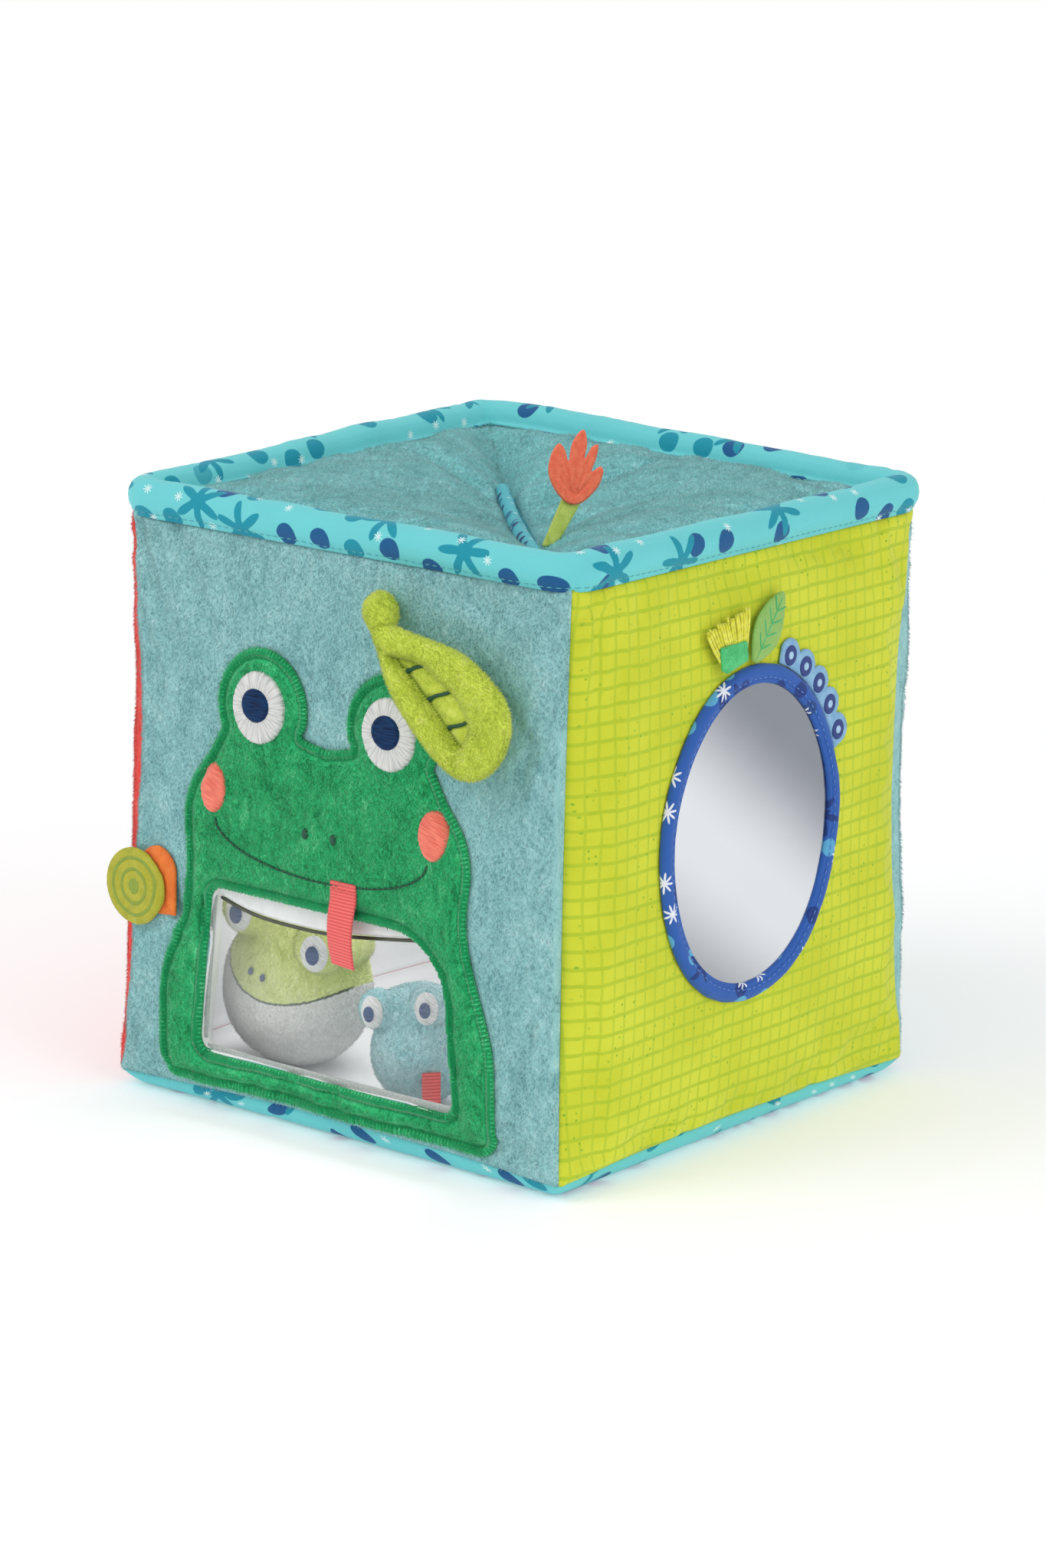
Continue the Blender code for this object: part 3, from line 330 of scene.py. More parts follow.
def within(points, outline):
    """True for each point that lies inside an outline."""
    inside = np.zeros(len(points), bool)
    ends = np.array(outline)
    for a, b in zip(np.roll(ends, 1, 0), ends):
        if a[1] != b[1]:
            crosses = (a[1] > points[:, 1]) != (b[1] > points[:, 1])
            inside ^= crosses & (points[:, 0] < a[0] + (b[0] - a[0]) * (points[:, 1] - a[1]) / (b[1] - a[1]))
    return inside


def from_edge(points, outlines):
    """For each point, how far the nearest edge is, and where on it."""
    best = np.full(len(points), 1e9)
    nearest = np.zeros((len(points), 2))
    for outline in outlines:
        ends = np.array(outline)
        for a, b in zip(np.roll(ends, 1, 0), ends):
            side = b - a
            length = math.hypot(*side)
            if length < 1e-9:
                continue
            t = np.clip(((points - a) @ side) / length ** 2, 0, 1)
            spot = a + t[:, None] * side
            away = np.hypot(*(points - spot).T)
            nearer = away < best
            best[nearer], nearest[nearer] = away[nearer], spot[nearer]
    return best, nearest


def wall_spots(verts):
    """Points of a flat piece in x and z."""
    return np.array([(vert.co.x, vert.co.z) for vert in verts])


def trim(bm, outline, holes=()):
    """Cuts a flat grid in x and z to an outline: faces outside go, and the rim is drawn onto the cut."""
    middles = np.array([face.calc_center_median() for face in bm.faces])[:, (0, 2)]
    keep = np.ones(len(middles), bool) if outline is None else within(middles, outline)
    for hole in holes:
        keep &= ~within(middles, hole)
    cuts = list(holes) + ([] if outline is None else [outline])
    bm.faces.ensure_lookup_table()
    bmesh.ops.delete(bm, geom=[bm.faces[n] for n in np.flatnonzero(~keep)], context="FACES")
    border = (lambda vert: True) if outline is not None else (
        lambda vert: from_edge(wall_spots([vert]), holes)[0][0] < 0.004)
    rim = [vert for vert in bm.verts if vert.is_boundary and border(vert)]
    _, nearest = from_edge(wall_spots(rim), cuts)
    for vert, (x, z) in zip(rim, nearest):
        vert.co.x, vert.co.z = x, z
    bmesh.ops.remove_doubles(bm, verts=bm.verts[:], dist=0.00005)


def thicken(bm):
    """Closes a sheet with a second face behind it; gives the points of the front and of the back."""
    front = bm.verts[:]
    grown = bmesh.ops.extrude_face_region(bm, geom=bm.faces[:], use_keep_orig=True)
    behind = [item for item in grown["geom"] if isinstance(item, bmesh.types.BMVert)]
    return front, behind


def mark_cut(bm, place=lambda spot: (spot.x, spot.z)):
    """Flat map of where each point lies on its cloth, for a print or a weave that follows the cloth."""
    cut = bm.loops.layers.uv.new("cut")
    for face in bm.faces:
        for loop in face.loops:
            loop[cut].uv = place(loop.vert.co)


def outward(bm):
    """Turns every face of a closed form outwards."""
    bmesh.ops.recalc_face_normals(bm, faces=bm.faces[:])
    if bm.calc_volume(signed=True) < 0:
        bmesh.ops.reverse_faces(bm, faces=bm.faces[:])


def piece(name, bm, finishes, body, slot, nodes=(), turn=None):
    """Object of a finished form, which rides on a body and stands for its CAD nodes."""
    if turn is not None:
        bmesh.ops.rotate(bm, verts=bm.verts[:], matrix=Matrix.Rotation(math.radians(turn), 3, "Z"))
        for vert in bm.verts:
            vert.co = settle(vert.co)
    obj = as_object(name, bm)
    bm.free()
    obj.data.shade_smooth()
    for material in finishes:
        obj.data.materials.append(material)
    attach(obj, body)
    if nodes:
        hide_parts(*nodes)
    return obj


def fill_up(bm, free, cap, pressure=4.0, slack=0.03, frames=20):
    """Lets the filling work on a sewn form: cloth under pressure that is held where it isn't free."""
    bm.verts.index_update()
    obj = as_object("sewn_form", bm)
    mesh = obj.data
    sewn = obj.vertex_groups.new(name="sewn")
    for index, share in enumerate(free):
        sewn.add([index], 1 - share, "REPLACE")
    cloth = obj.modifiers.new("filling", "CLOTH")
    cloth.settings.vertex_group_mass = "sewn"
    cloth.settings.effector_weights.gravity = 0
    cloth.settings.use_pressure = True
    cloth.settings.uniform_pressure_force = pressure
    cloth.settings.mass = 0.02
    cloth.settings.shrink_min = -slack
    cloth.settings.bending_stiffness = 0.02
    cloth.settings.tension_stiffness = cloth.settings.compression_stiffness = 8
    cloth.point_cache.frame_start, cloth.point_cache.frame_end = 1, frames
    for count in range(1, frames + 1):
        bpy.context.scene.frame_set(count)
    swollen = obj.evaluated_get(bpy.context.evaluated_depsgraph_get()).data.vertices
    for vert, moved in zip(bm.verts, swollen):
        shift = moved.co - vert.co
        if shift.length > cap:
            shift = shift.normalized() * cap
        vert.co = vert.co + shift
    bpy.data.objects.remove(obj)
    bpy.data.meshes.remove(mesh)
    bpy.context.scene.frame_set(1)


def crease(x, z, start, end, width, depth):
    """Depth of a soft fold that is deepest near its start and fades towards its end."""
    a, run = Vector(start), Vector(end) - Vector(start)
    t = (Vector((x, z)) - a).dot(run) / run.length_squared
    away = (Vector((x, z)) - a - run * min(max(t, 0), 1)).length
    fade = max(0, 1 - t) if t > 0 else 1
    return depth * fade ** 0.7 * math.exp(-(away / (width * (0.6 + 0.7 * max(t, 0)))) ** 2)


def plush(name, dark, middle, pale, lie=(1, 1, 0.35), patch=0.012):
    """Short pile: fine fibres that lie one way, swirled, and patches where the nap was brushed."""
    material, shader, spot = finish(name, Roughness=0.9, Sheen_Weight=0.3, Sheen_Roughness=0.4,
                                    Specular_IOR_Level=0.12)
    sway = spot.speckle(0.010, 2.0, 1).stretched(0.012, 0.012, 0.012)
    bent = spot.shifted(sway)
    fibre = bent.stretched(*lie).speckle(0.00050)
    clump = bent.stretched(*lie).speckle(0.0024)
    nap = spot.shifted((0.3, 0.1, 0.2)).speckle(patch, 3.0)
    shade = fibre * 0.46 + clump * 0.34 + nap * 0.30
    low = shade.step(0.37, 0.58)
    high = shade.step(0.57, 0.78)
    high.among(low.among(dark, middle), pale).feed(shader, "Base Color")
    (fibre * 0.5 + clump * 1.2).emboss(shader, 0.0009, 0.7)
    return material


def worked_out(obj):
    """The form that an object's modifiers make of it. The object goes."""
    made = bpy.data.meshes.new_from_object(obj.evaluated_get(bpy.context.evaluated_depsgraph_get()))
    bm = bmesh.new()
    bm.from_mesh(made)
    bpy.data.objects.remove(obj)
    bpy.data.meshes.remove(made)
    return bm


def nap(name, ground, density, length, body, slot, keep, lie=(0, 0, -0.9), finish_of=None, swirl=1.5, bare=0):
    """The pile itself, over the faces that are kept: slim pointed fibres that lean over one way, swirled.
    A band of the cut edge may stay bare."""
    bm = bmesh.new()
    bm.from_mesh(ground.data)
    near = bm.verts.layers.float.get("edge_distance")
    bald = [face for face in bm.faces if not keep(face) or bare and min(v[near] for v in face.verts) < bare]
    bmesh.ops.delete(bm, geom=bald, context="FACES")
    obj = as_object(name, bm)
    bm.free()
    tree = bpy.data.node_groups.new(name, "GeometryNodeTree")
    tree.interface.new_socket("Geometry", in_out="INPUT", socket_type="NodeSocketGeometry")
    tree.interface.new_socket("Geometry", in_out="OUTPUT", socket_type="NodeSocketGeometry")

    def part(kind, settings=(), **inputs):
        made = tree.nodes.new(kind)
        for key, value in dict(settings).items():
            setattr(made, key, value)
        for key, value in inputs.items():
            socket = made.inputs[int(key[1:])] if key[1:].isdigit() else made.inputs[key.replace("_", " ")]
            if isinstance(value, bpy.types.NodeSocket):
                tree.links.new(value, socket)
            else:
                socket.default_value = value
        return made.outputs

    cloth_in = tree.nodes.new("NodeGroupInput").outputs[0]
    roots = part("GeometryNodeDistributePointsOnFaces", Mesh=cloth_in, Density=density)
    ruffle = part("ShaderNodeTexNoise", Scale=110.0, Detail=2.0)["Color"]
    stray = part("FunctionNodeRandomValue", {"data_type": "FLOAT_VECTOR"}, _0=(-0.45,) * 3, _1=(0.45,) * 3)[0]
    swirled = part("ShaderNodeVectorMath", {"operation": "MULTIPLY_ADD"}, _0=ruffle, _1=(swirl,) * 3,
                   _2=tuple(way - swirl / 2 for way in lie))[0]
    lean = part("ShaderNodeVectorMath", {"operation": "ADD"}, _0=swirled, _1=stray)[0]
    stand = part("ShaderNodeVectorMath", {"operation": "ADD"}, _0=roots["Normal"], _1=lean)[0]
    aim = part("FunctionNodeAlignRotationToVector", {"axis": "Z"}, Vector=stand)[0]
    fibre = part("GeometryNodeMeshCone", {"fill_type": "NONE"}, Vertices=3, Radius_Bottom=length * 0.11,
                 Radius_Top=0.0, Depth=length)["Mesh"]
    size = part("FunctionNodeRandomValue", _2=0.6, _3=1.15)[1]
    fibres = part("GeometryNodeInstanceOnPoints", Points=roots["Points"], Instance=fibre, Rotation=aim,
                  Scale=size)[0]
    grown = part("GeometryNodeRealizeInstances", Geometry=fibres)[0]
    tree.links.new(grown, tree.nodes.new("NodeGroupOutput").inputs[0])
    growth = obj.modifiers.new("nap", "NODES")
    growth.node_group = tree
    return piece(name, worked_out(obj), [finish_of or ground.data.materials[0]], body, slot)


def check_cotton(name):
    """Smooth lime cotton with a hand-drawn darker check and a few tiny green flecks."""
    material, shader, spot = finish(name, Roughness=0.75, Sheen_Weight=0.08, Specular_IOR_Level=0.25)
    flat = spot.node("UVMap", uv_map="cut")
    wobble = flat.speckle(0.012, 2.0, 1).shifted((-0.5, -0.5, -0.5)).stretched(0.0011, 0.0011, 0)
    drawn = flat.shifted(wobble)
    strength = flat.speckle(0.006, 3.0)
    across = (drawn.part(0) / 0.0052).sum("PINGPONG", 0.5)
    up = (drawn.part(1) / 0.0054).sum("PINGPONG", 0.5)
    upright = (1 - across.step(0.055, 0.115)) * (0.35 + strength * 0.75)
    level = (1 - up.step(0.075, 0.150)) * (0.55 + strength * 0.75)
    lines = upright.sum("MAXIMUM", level)
    tone = flat.speckle(0.03).step(0.3, 0.7)
    ground = tone.among(ink(202, 210, 46), ink(214, 221, 60))
    crossed = (lines * 0.8).among(ground, ink(172, 197, 44))
    flecks = flat.node("TexVoronoi", {"Vector": flat, "Scale": 210.0}, 0, voronoi_dimensions="2D")
    cluster = flat.shifted((0.4, 0.7, 0)).speckle(0.016).step(0.50, 0.62)
    fleck = (1 - flecks.step(0.06, 0.11)) * cluster * 0.8
    fleck.among(crossed, ink(120, 175, 40)).feed(shader, "Base Color")
    weave = flat.speckle(0.0004)
    slub = flat.speckle(0.003)
    (weave * 0.5 + slub).emboss(shader, 0.0003, 0.5)
    return material


def dyed(name, dark, pale, spots=0.0006, detail=2.0, grain=None, **even):
    """Plain finish: two near colours in soft spots, with a grain of a size, a depth and a strength."""
    material, shader, spot = finish(name, **even)
    spot.speckle(spots, detail).among(dark, pale).feed(shader, "Base Color")
    if grain:
        size, depth, strength = grain
        spot.speckle(size, detail).emboss(shader, depth, strength)
    return material


plush_blue = plush("light_blue_plush", ink(116, 172, 176), ink(152, 204, 206), ink(192, 228, 228))
plush_red = plush("red_plush", ink(208, 48, 42), ink(236, 66, 58), ink(248, 102, 90))
lime_cotton = check_cotton("lime_check_cotton")
lining_white = dyed("lining_cloth", ink(238, 239, 240), ink(250, 250, 251), 0.02, 2.0, (0.0006, 0.0002, 0.6),
                    Roughness=0.85)

window_corners = ((-WINDOW_BASE_HALF, WINDOW_LOW), (WINDOW_BASE_HALF, WINDOW_LOW),
                  (WINDOW_TOP_HALF, WINDOW_HIGH), (-WINDOW_TOP_HALF, WINDOW_HIGH))
window_outline = dense(rounded(window_corners, (0.005, 0.005, 0.022, 0.005)), 0.0025)

# Each wall's soft folds: where one starts and ends, its width and its depth
wall_folds = {
    FRONT: (((-0.089, 0.187), (-0.056, 0.128), 0.0046, 0.0036),
            ((-0.070, 0.189), (-0.046, 0.150), 0.0045, 0.0022),
            ((-0.088, 0.150), (-0.074, 0.060), 0.0045, 0.0010),
            ((0.086, 0.180), (0.055, 0.150), 0.005, 0.0010),
            ((-0.0645, 0.0620), (-0.0645, 0.0820), 0.0055, 0.0026),
            ((0.088, 0.070), (0.074, 0.010), 0.004, 0.0010),
            ((-0.088, 0.010), (-0.074, 0.045), 0.005, 0.0012)),
    RIGHT: (((-0.080, 0.189), (-0.079, 0.090), 0.0022, 0.0020),
            ((-0.060, 0.189), (-0.066, 0.155), 0.0030, 0.0013),
            ((-0.040, 0.189), (-0.048, 0.165), 0.0030, 0.0008),
            ((0.070, 0.189), (0.060, 0.160), 0.004, 0.0012),
            ((0.040, 0.003), (0.045, 0.035), 0.005, 0.0012),
            ((-0.030, 0.003), (-0.026, 0.030), 0.005, 0.0010)),
    BACK: (((-0.085, 0.186), (-0.050, 0.140), 0.006, 0.0020),
           ((0.083, 0.186), (0.050, 0.150), 0.006, 0.0020)),
    LEFT: (((-0.085, 0.186), (-0.060, 0.120), 0.006, 0.0016),
           ((0.080, 0.184), (0.050, 0.150), 0.006, 0.0018)),
}
walls = {
    FRONT: ("front", plush_blue, "light_blue_plush"),
    RIGHT: ("right", lime_cotton, "lime_check_cotton"),
    BACK: ("back", plush_blue, "light_blue_plush"),
    LEFT: ("left", plush_red, "red_plush"),
}
WALL_CELLS = 60
FRONT_PILE = 2100000
WALL_PILE = 1500000
PILE_LENGTH = 0.0011
window_middle = Vector((0, (WINDOW_LOW + WINDOW_HIGH) / 2))
wall_faces = {}
for turn, (name, cover, slot) in walls.items():
    bm = bmesh.new()
    bmesh.ops.create_grid(bm, x_segments=WALL_CELLS, y_segments=WALL_CELLS, size=1)
    for vert in bm.verts:
        vert.co = wall_point(vert.co.x, vert.co.y, 0, 0, turn)
    sewn_rim = {vert for vert in bm.verts if vert.is_boundary}
    if turn == FRONT:
        trim(bm, None, [window_outline])
    front, behind = thicken(bm)
    outer = set(front)
    held = {vert for vert in front if vert.is_boundary} | sewn_rim | set(behind)
    for vert in front + behind:
        w = (vert.co.z - seam_height(0)) / (WALL_TOP - seam_height(0))
        u = max(-1, min(1, vert.co.x / seam_half(w)))
        flat_spot = Vector((vert.co.x, vert.co.z))
        if vert in outer:
            edge_fade = min(1, (1 - abs(u)) / 0.03) * min(1, max(0, 0.19 - vert.co.z) / 0.002)
            fold = sum(crease(*flat_spot, *line) for line in wall_folds[turn]) * edge_fade
            swelling = noise.noise(Vector((vert.co.x, vert.co.z, turn)) * 26) * 0.0008 * edge_fade
            vert.co.y += fold - swelling
        else:
            v = 2 * w - 1
            inner = wall_point(u, max(-1, min(1, v)), SEAM_DEPTH, WALL_DEPTH, turn)
            vert.co = (vert.co.x * (1 - SEAM_DEPTH / seam_half(w)), inner.y + 0.0016 * max(0, -v) ** 8,
                       vert.co.z + (SEAM_DEPTH - 0.0006 if v < 0 else 0) * v * v)
            if turn == FRONT:
                beside = from_edge(np.array([flat_spot]), [window_outline])[0][0]
                opened = (flat_spot - window_middle).normalized() * 0.0085 * max(0, 1 - beside / 0.034)
                vert.co.x, vert.co.z = vert.co.x + opened.x, max(vert.co.z + opened.y, 0.007)
    for face in bm.faces:
        seen_part = [vert in outer for vert in face.verts]
        at_window = turn == FRONT and all(vert not in sewn_rim for vert in face.verts)
        face.material_index = 0 if all(seen_part) or any(seen_part) and not at_window else 1
    mark_cut(bm)
    outward(bm)
    fill_up(bm, [0 if vert in held else 1 for vert in bm.verts], 0.0011)
    bmesh.ops.subdivide_edges(bm, edges=bm.edges[:], cuts=1, use_grid_fill=True, smooth=0.6)
    wall_faces[turn] = BVHTree.FromBMesh(bm)
    wall = piece(name + "_wall", bm, [cover, lining_white], "box", slot,
                 [name + "_cover", name + "_pad", name + "_lining"], turn)
    if turn != RIGHT:
        way = Matrix.Rotation(math.radians(turn), 3, "Z") @ Vector((0, -1, 0))
        nap(name + "_nap", wall, FRONT_PILE if turn == FRONT else WALL_PILE, PILE_LENGTH, "box", slot,
            lambda face: face.material_index == 0 and face.normal.dot(way) > 0.3)


def first_hit(faces, x, z):
    """Where a line from outside, straight at a wall, first meets a form. None if it misses."""
    return faces.ray_cast(Vector((x, -0.3, z)), Vector((0, 1, 0)))[0]


def on_wall(x, z, turn=FRONT):
    """Distance from the middle of the box to the sewn wall's outer face, at a place on the wall."""
    hit = first_hit(wall_faces[turn], x, z)
    cut_out_face = wall_out(x, z, turn)
    return cut_out_face if hit is None or abs(-hit.y - cut_out_face) > 0.006 else -hit.y


# Base: a padded panel of aqua cotton, printed with dots, petal flowers and small
# white stars, sewn to the lower edges of the walls. It bulges down to the floor.
PRINT_PITCH = 0.0148


def printed_cotton(name, ground, first, second, pitch=PRINT_PITCH, pale=ink(214, 240, 240), star=1.0,
                   few=0.55):
    """Cotton with a scattered print of dots, petal flowers and small stars, in two inks and a pale one."""
    material, shader, spot = finish(name, Roughness=0.7, Sheen_Weight=0.1, Specular_IOR_Level=0.25)
    flat = spot.node("UVMap", uv_map="cut")

    def motif(shift, size, petals, inner, outer, keep):
        scaled = flat.shifted(shift).stretched(1 / size, 1 / size, 0)
        cells = {"Vector": scaled, "Scale": 1.0, "Randomness": 0.6}
        middle = flat.node("TexVoronoi", cells, 2, voronoi_dimensions="2D")
        chance = flat.node("TexVoronoi", cells, 1, voronoi_dimensions="2D").part(0)
        away = flat.node("VectorMath", {0: scaled, 1: middle}, operation="SUBTRACT")
        angle = away.part(1).sum("ARCTAN2", away.part(0)) + chance * 9.0
        wave = ((angle * petals).sum("COSINE") * 0.5 + 0.5) ** 1.4
        edge = inner + wave * (outer - inner)
        return (1 - (away.length() - edge).step(-0.012, 0.012)) * chance.step(keep, keep + 0.01), chance

    dots, pick = motif((0.11, 0.07, 0), pitch, 1.0, 0.24, 0.30, 0.30)
    flowers, _ = motif((0.35, 0.22, 0), pitch * 1.9, 6.0, 0.11, 0.36, 0.36)
    stars, _ = motif((0.53, 0.41, 0), pitch * 0.95, 8.0, 0.035 * star, 0.125 * star, few)
    inks = pick.step(0.62, 0.63).among(first, second)
    cloth = flat.speckle(0.02).among(ground, tuple(min(1, c * 1.10) for c in ground[:3]) + (1,))
    flowered = flowers.among(cloth, first)
    dotted = (dots * (1 - flowers)).among(flowered, inks)
    stars.among(dotted, pale).feed(shader, "Base Color")
    weave = flat.speckle(0.00035)
    slub = flat.speckle(0.0025)
    (weave * 0.5 + slub).emboss(shader, 0.0003, 0.6)
    return material


aqua_print = printed_cotton("aqua_print_cotton", ink(108, 206, 210), ink(16, 148, 170), ink(16, 90, 144))


def base_point(u, v, at_seam, in_middle):
    """Point of the base at a depth above its lower face."""
    half = BASE_WIDTH / 2
    near = shoulder((1 - abs(u)) * half) * shoulder((1 - abs(v)) * half)
    lift = (seam_height(min(abs(u), abs(v))) - MITRE_GAP) * (1 - near) - BASE_PUFF * near
    depth = at_seam + (in_middle - at_seam) * (1 - u ** 8) * (1 - v ** 8)
    return Vector((u * (half - at_seam), v * (half - at_seam), lift + depth))


def base_cut(spot):
    """Place on the base's cloth, which runs up at its edges."""
    rise = max(0, spot.z + BASE_PUFF)
    return spot.x + math.copysign(rise, spot.x), spot.y + math.copysign(rise, spot.y)


BASE_CELLS = 64
bm = bmesh.new()
bmesh.ops.create_grid(bm, x_segments=BASE_CELLS, y_segments=BASE_CELLS, size=1)
front, behind = thicken(bm)
for verts, at_seam, in_middle in ((front, 0, 0), (behind, SEAM_DEPTH, WALL_DEPTH)):
    for vert in verts:
        u, v = math.sin(math.pi / 2 * vert.co.x), math.sin(math.pi / 2 * vert.co.y)
        ripple = noise.noise(Vector((u, v, 3)) * 5) * 0.0006 * (1 - max(abs(u), abs(v)) ** 12)
        vert.co = base_point(u, v, at_seam, in_middle)
        if verts is front:
            vert.co.z += max(0, ripple)
outer = set(front)
for face in bm.faces:
    face.material_index = 0 if any(vert in outer for vert in face.verts) else 1
mark_cut(bm, base_cut)
outward(bm)
base = piece("base_panel", bm, [aqua_print, lining_white], "box", "aqua_print_cotton",
             ["base_cover", "base_pad", "base_lining"], FRONT)

# Rim binding: a wide strip of the aqua print folded over the top edge of the
# walls and stuffed, with its two hems stitched down, outside on the walls and
# inside on the top. It puckers a little, most at the corners.
RIM_DIAMETER = 0.011
RIM_CORNER = 0.008
rim_half = TOP_WIDTH / 2
rim_middle = WALL_TOP + GAP + RIM_DIAMETER / 2


def point_at(at, marks, points):
    """Place at a distance along a run of points, whose own distances are the marks."""
    return np.array([np.interp(at, marks, points[:, k]) for k in range(points.shape[1])])


def loop_run(outline):
    """Closed outline as a function of the share of its length: a place and the direction outwards."""
    ends = np.array(list(outline) + [outline[0]])
    steps = np.hypot(*np.diff(ends, axis=0).T)
    marks = np.concatenate([[0], np.cumsum(steps)])

    def spot(share):
        at = (share % 1) * marks[-1]
        ahead, behind_it = (point_at((at + d) % marks[-1], marks, ends) for d in (0.0006, -0.0006))
        run = Vector(ahead - behind_it).normalized()
        return Vector(point_at(at, marks, ends)), Vector((run.y, -run.x))
    return spot, float(marks[-1])


def sleeve(steps, rounds, spot, length, girth):
    """Cloth tube from a grid: spot gives a point for its shares along and around. Its seam is welded."""
    bm = bmesh.new()
    bmesh.ops.create_grid(bm, x_segments=steps, y_segments=rounds, size=0.5)
    mark_cut(bm, lambda share: ((share.x + 0.5) * length, (share.y + 0.5) * girth))
    for vert in bm.verts:
        vert.co = spot(vert.co.x + 0.5, vert.co.y + 0.5)
    bmesh.ops.remove_doubles(bm, verts=bm.verts[:], dist=0.000001)
    outward(bm)
    return bm


# The section of the binding, outwards and upwards from the middle of the tube in millimetres
rim_section = [(0.0, -5.2), (2.2, -5.2), (2.5, -6.3), (3.3, -6.4), (3.5, -5.9), (3.3, -5.3), (4.1, -4.6),
               (5.2, -2.6), (5.5, -0.4), (5.2, 1.9), (4.2, 3.8), (2.5, 5.1), (0.3, 5.6), (-2.1, 5.2),
               (-4.1, 3.9), (-5.2, 2.0), (-5.55, 0.4), (-5.5, -0.5), (-6.3, -0.75), (-7.2, -0.9),
               (-7.4, -1.5), (-6.0, -1.7), (-4.6, -3.2), (-2.4, -4.8)]
rim_round, rim_girth = loop_run([(x / 1000, z / 1000) for x, z in rim_section])
rim_run, rim_length = loop_run(dense(rounded(
    ((-rim_half, -rim_half), (rim_half, -rim_half), (rim_half, rim_half), (-rim_half, rim_half)),
    (RIM_CORNER,) * 4), 0.002))


def rim_spot(s, a, lift=0.0):
    place, out = rim_run(s)
    section, _ = rim_round(a)
    corner = math.exp(-(((s * 4 + 0.5) % 1 - 0.5) / 0.055) ** 2)
    wave = noise.noise(Vector((place.x, place.y, 5)) * 38)
    pucker = noise.noise(Vector((place.x * 260, place.y * 260, section.y * 60)))
    fat = 1 + 0.04 * wave + lift
    hem = 1 if section.y < -0.005 or section.x < -0.0057 else 0
    reach = section.x * fat + 0.00028 * pucker * (0.5 + corner)
    rise = section.y * fat + (0.0008 * wave + 0.00026 * pucker * (0.5 + 1.5 * corner)) * (1 - 0.6 * hem)
    return Vector((place.x + out.x * reach, place.y + out.y * reach, rim_middle + rise))


bm = sleeve(520, 48, rim_spot, rim_length, rim_girth)
rim = piece("rim_binding_cloth", bm, [aqua_print], "box", "aqua_print_cotton", ["rim_binding"], FRONT)

aqua_thread = dyed("sewing_thread", ink(60, 150, 160), ink(96, 190, 196), 0.0005, Roughness=0.55,
                   Sheen_Weight=0.2)


def bead(bm, middle, along, across, up, fineness=1):
    """Rounded bead: its three axes, each with its length."""
    made = bmesh.ops.create_icosphere(bm, subdivisions=fineness, radius=0.5)
    axes = Matrix((along, across, up)).transposed().to_4x4()
    bmesh.ops.transform(bm, matrix=Matrix.Translation(middle) @ axes, verts=made["verts"])


def stitches(points, length, thickness, spacing=1.35, normals=None):
    """Row of short stitches along a run of points, each a slim rounded bead sunk halfway."""
    bm = bmesh.new()
    points = np.array(points)
    normals = np.array([(0, -1, 0)] * len(points) if normals is None else normals)
    marks = np.concatenate([[0], np.cumsum(np.linalg.norm(np.diff(points, axis=0), axis=1))])
    count = int(marks[-1] / (length * spacing))
    for n in range(count):
        at = (n + 0.5) * marks[-1] / count
        middle, ahead = (Vector(point_at(at + d, marks, points)) for d in (0, length / 2))
        up = Vector(point_at(at, marks, normals)).normalized()
        run = (ahead - middle).normalized()
        side = run.cross(up).normalized()
        bead(bm, middle, run * length, side * thickness, up * thickness)
    return bm


RIM_MARKS = 1200
for row, share_round, out, up in (("outer", 0.155, 1, 0.1), ("inner", 0.785, -0.4, 0.9)):
    shares = [n / RIM_MARKS for n in range(RIM_MARKS + 1)]
    seam = [rim_spot(share, share_round, 0.004) for share in shares]
    bm = stitches(seam, 0.0022, 0.00042, normals=[(*(rim_run(share)[1] * out), up) for share in shares])
    piece("rim_stitches_" + row, bm, [aqua_thread], "box", "aqua_print_cotton", (), FRONT)

# Top: two halves of the light-blue plush, lined, that meet on the diagonal and
# sag towards the slit between them. The slit's lips are bound in the aqua print.
TOP_SAG = 0.011
TOP_PILLOW = 0.0035
TOP_COVER = 0.0022
TOP_LINING = 0.0009
TOP_DROP = 0.0018
TOP_END = 0.0036
TOP_CORNER = 0.0030
SLIT_LENGTH = 0.104
SLIT_GAP = 0.0104
SLIT_BINDING = 0.0042
SLIT_MERGE = 0.009
SLIT_CLOSED = 0.0016
top_reach = (rim_half - RIM_DIAMETER / 2 - GAP) * math.sqrt(2)
top_height = rim_middle - TOP_DROP
slit_half = SLIT_LENGTH / 2
DIAGONAL = Matrix.Rotation(-math.pi / 4, 4, "Z")


def lip(q, gap=SLIT_GAP):
    """Distance from the diagonal to the bound edge of a half, q along the diagonal."""
    return MITRE_GAP + gap / 2 * max(1 - (q / slit_half) ** 2, 0)


def merging(q):
    """0 beside the slit, 1 beyond its ends, where the two halves meet."""
    return min(max((abs(q) - slit_half) / SLIT_MERGE, 0), 1)


def top_edge(q, side):
    """Distance from the diagonal to the cloth of a half: beside its binding on the left, over it on
    the right."""
    beside = SLIT_BINDING + GAP if side < 0 else 0.0012
    return lip(q, SLIT_CLOSED) + beside * (1 - merging(q)) - 0.0005 * merging(q)


def top_hem(q):
    return top_reach - math.hypot(q, TOP_CORNER)


def top_rise(q, p):
    """Height of the top's face: it sags towards the diagonal and each half is pillowed."""
    t = min(abs(p) / top_hem(q), 1)
    along = 1 - (q / top_reach) ** 2
    return top_height - TOP_SAG * along * (1 - t) ** 1.5 + TOP_PILLOW * along * 4 * t * (1 - t)


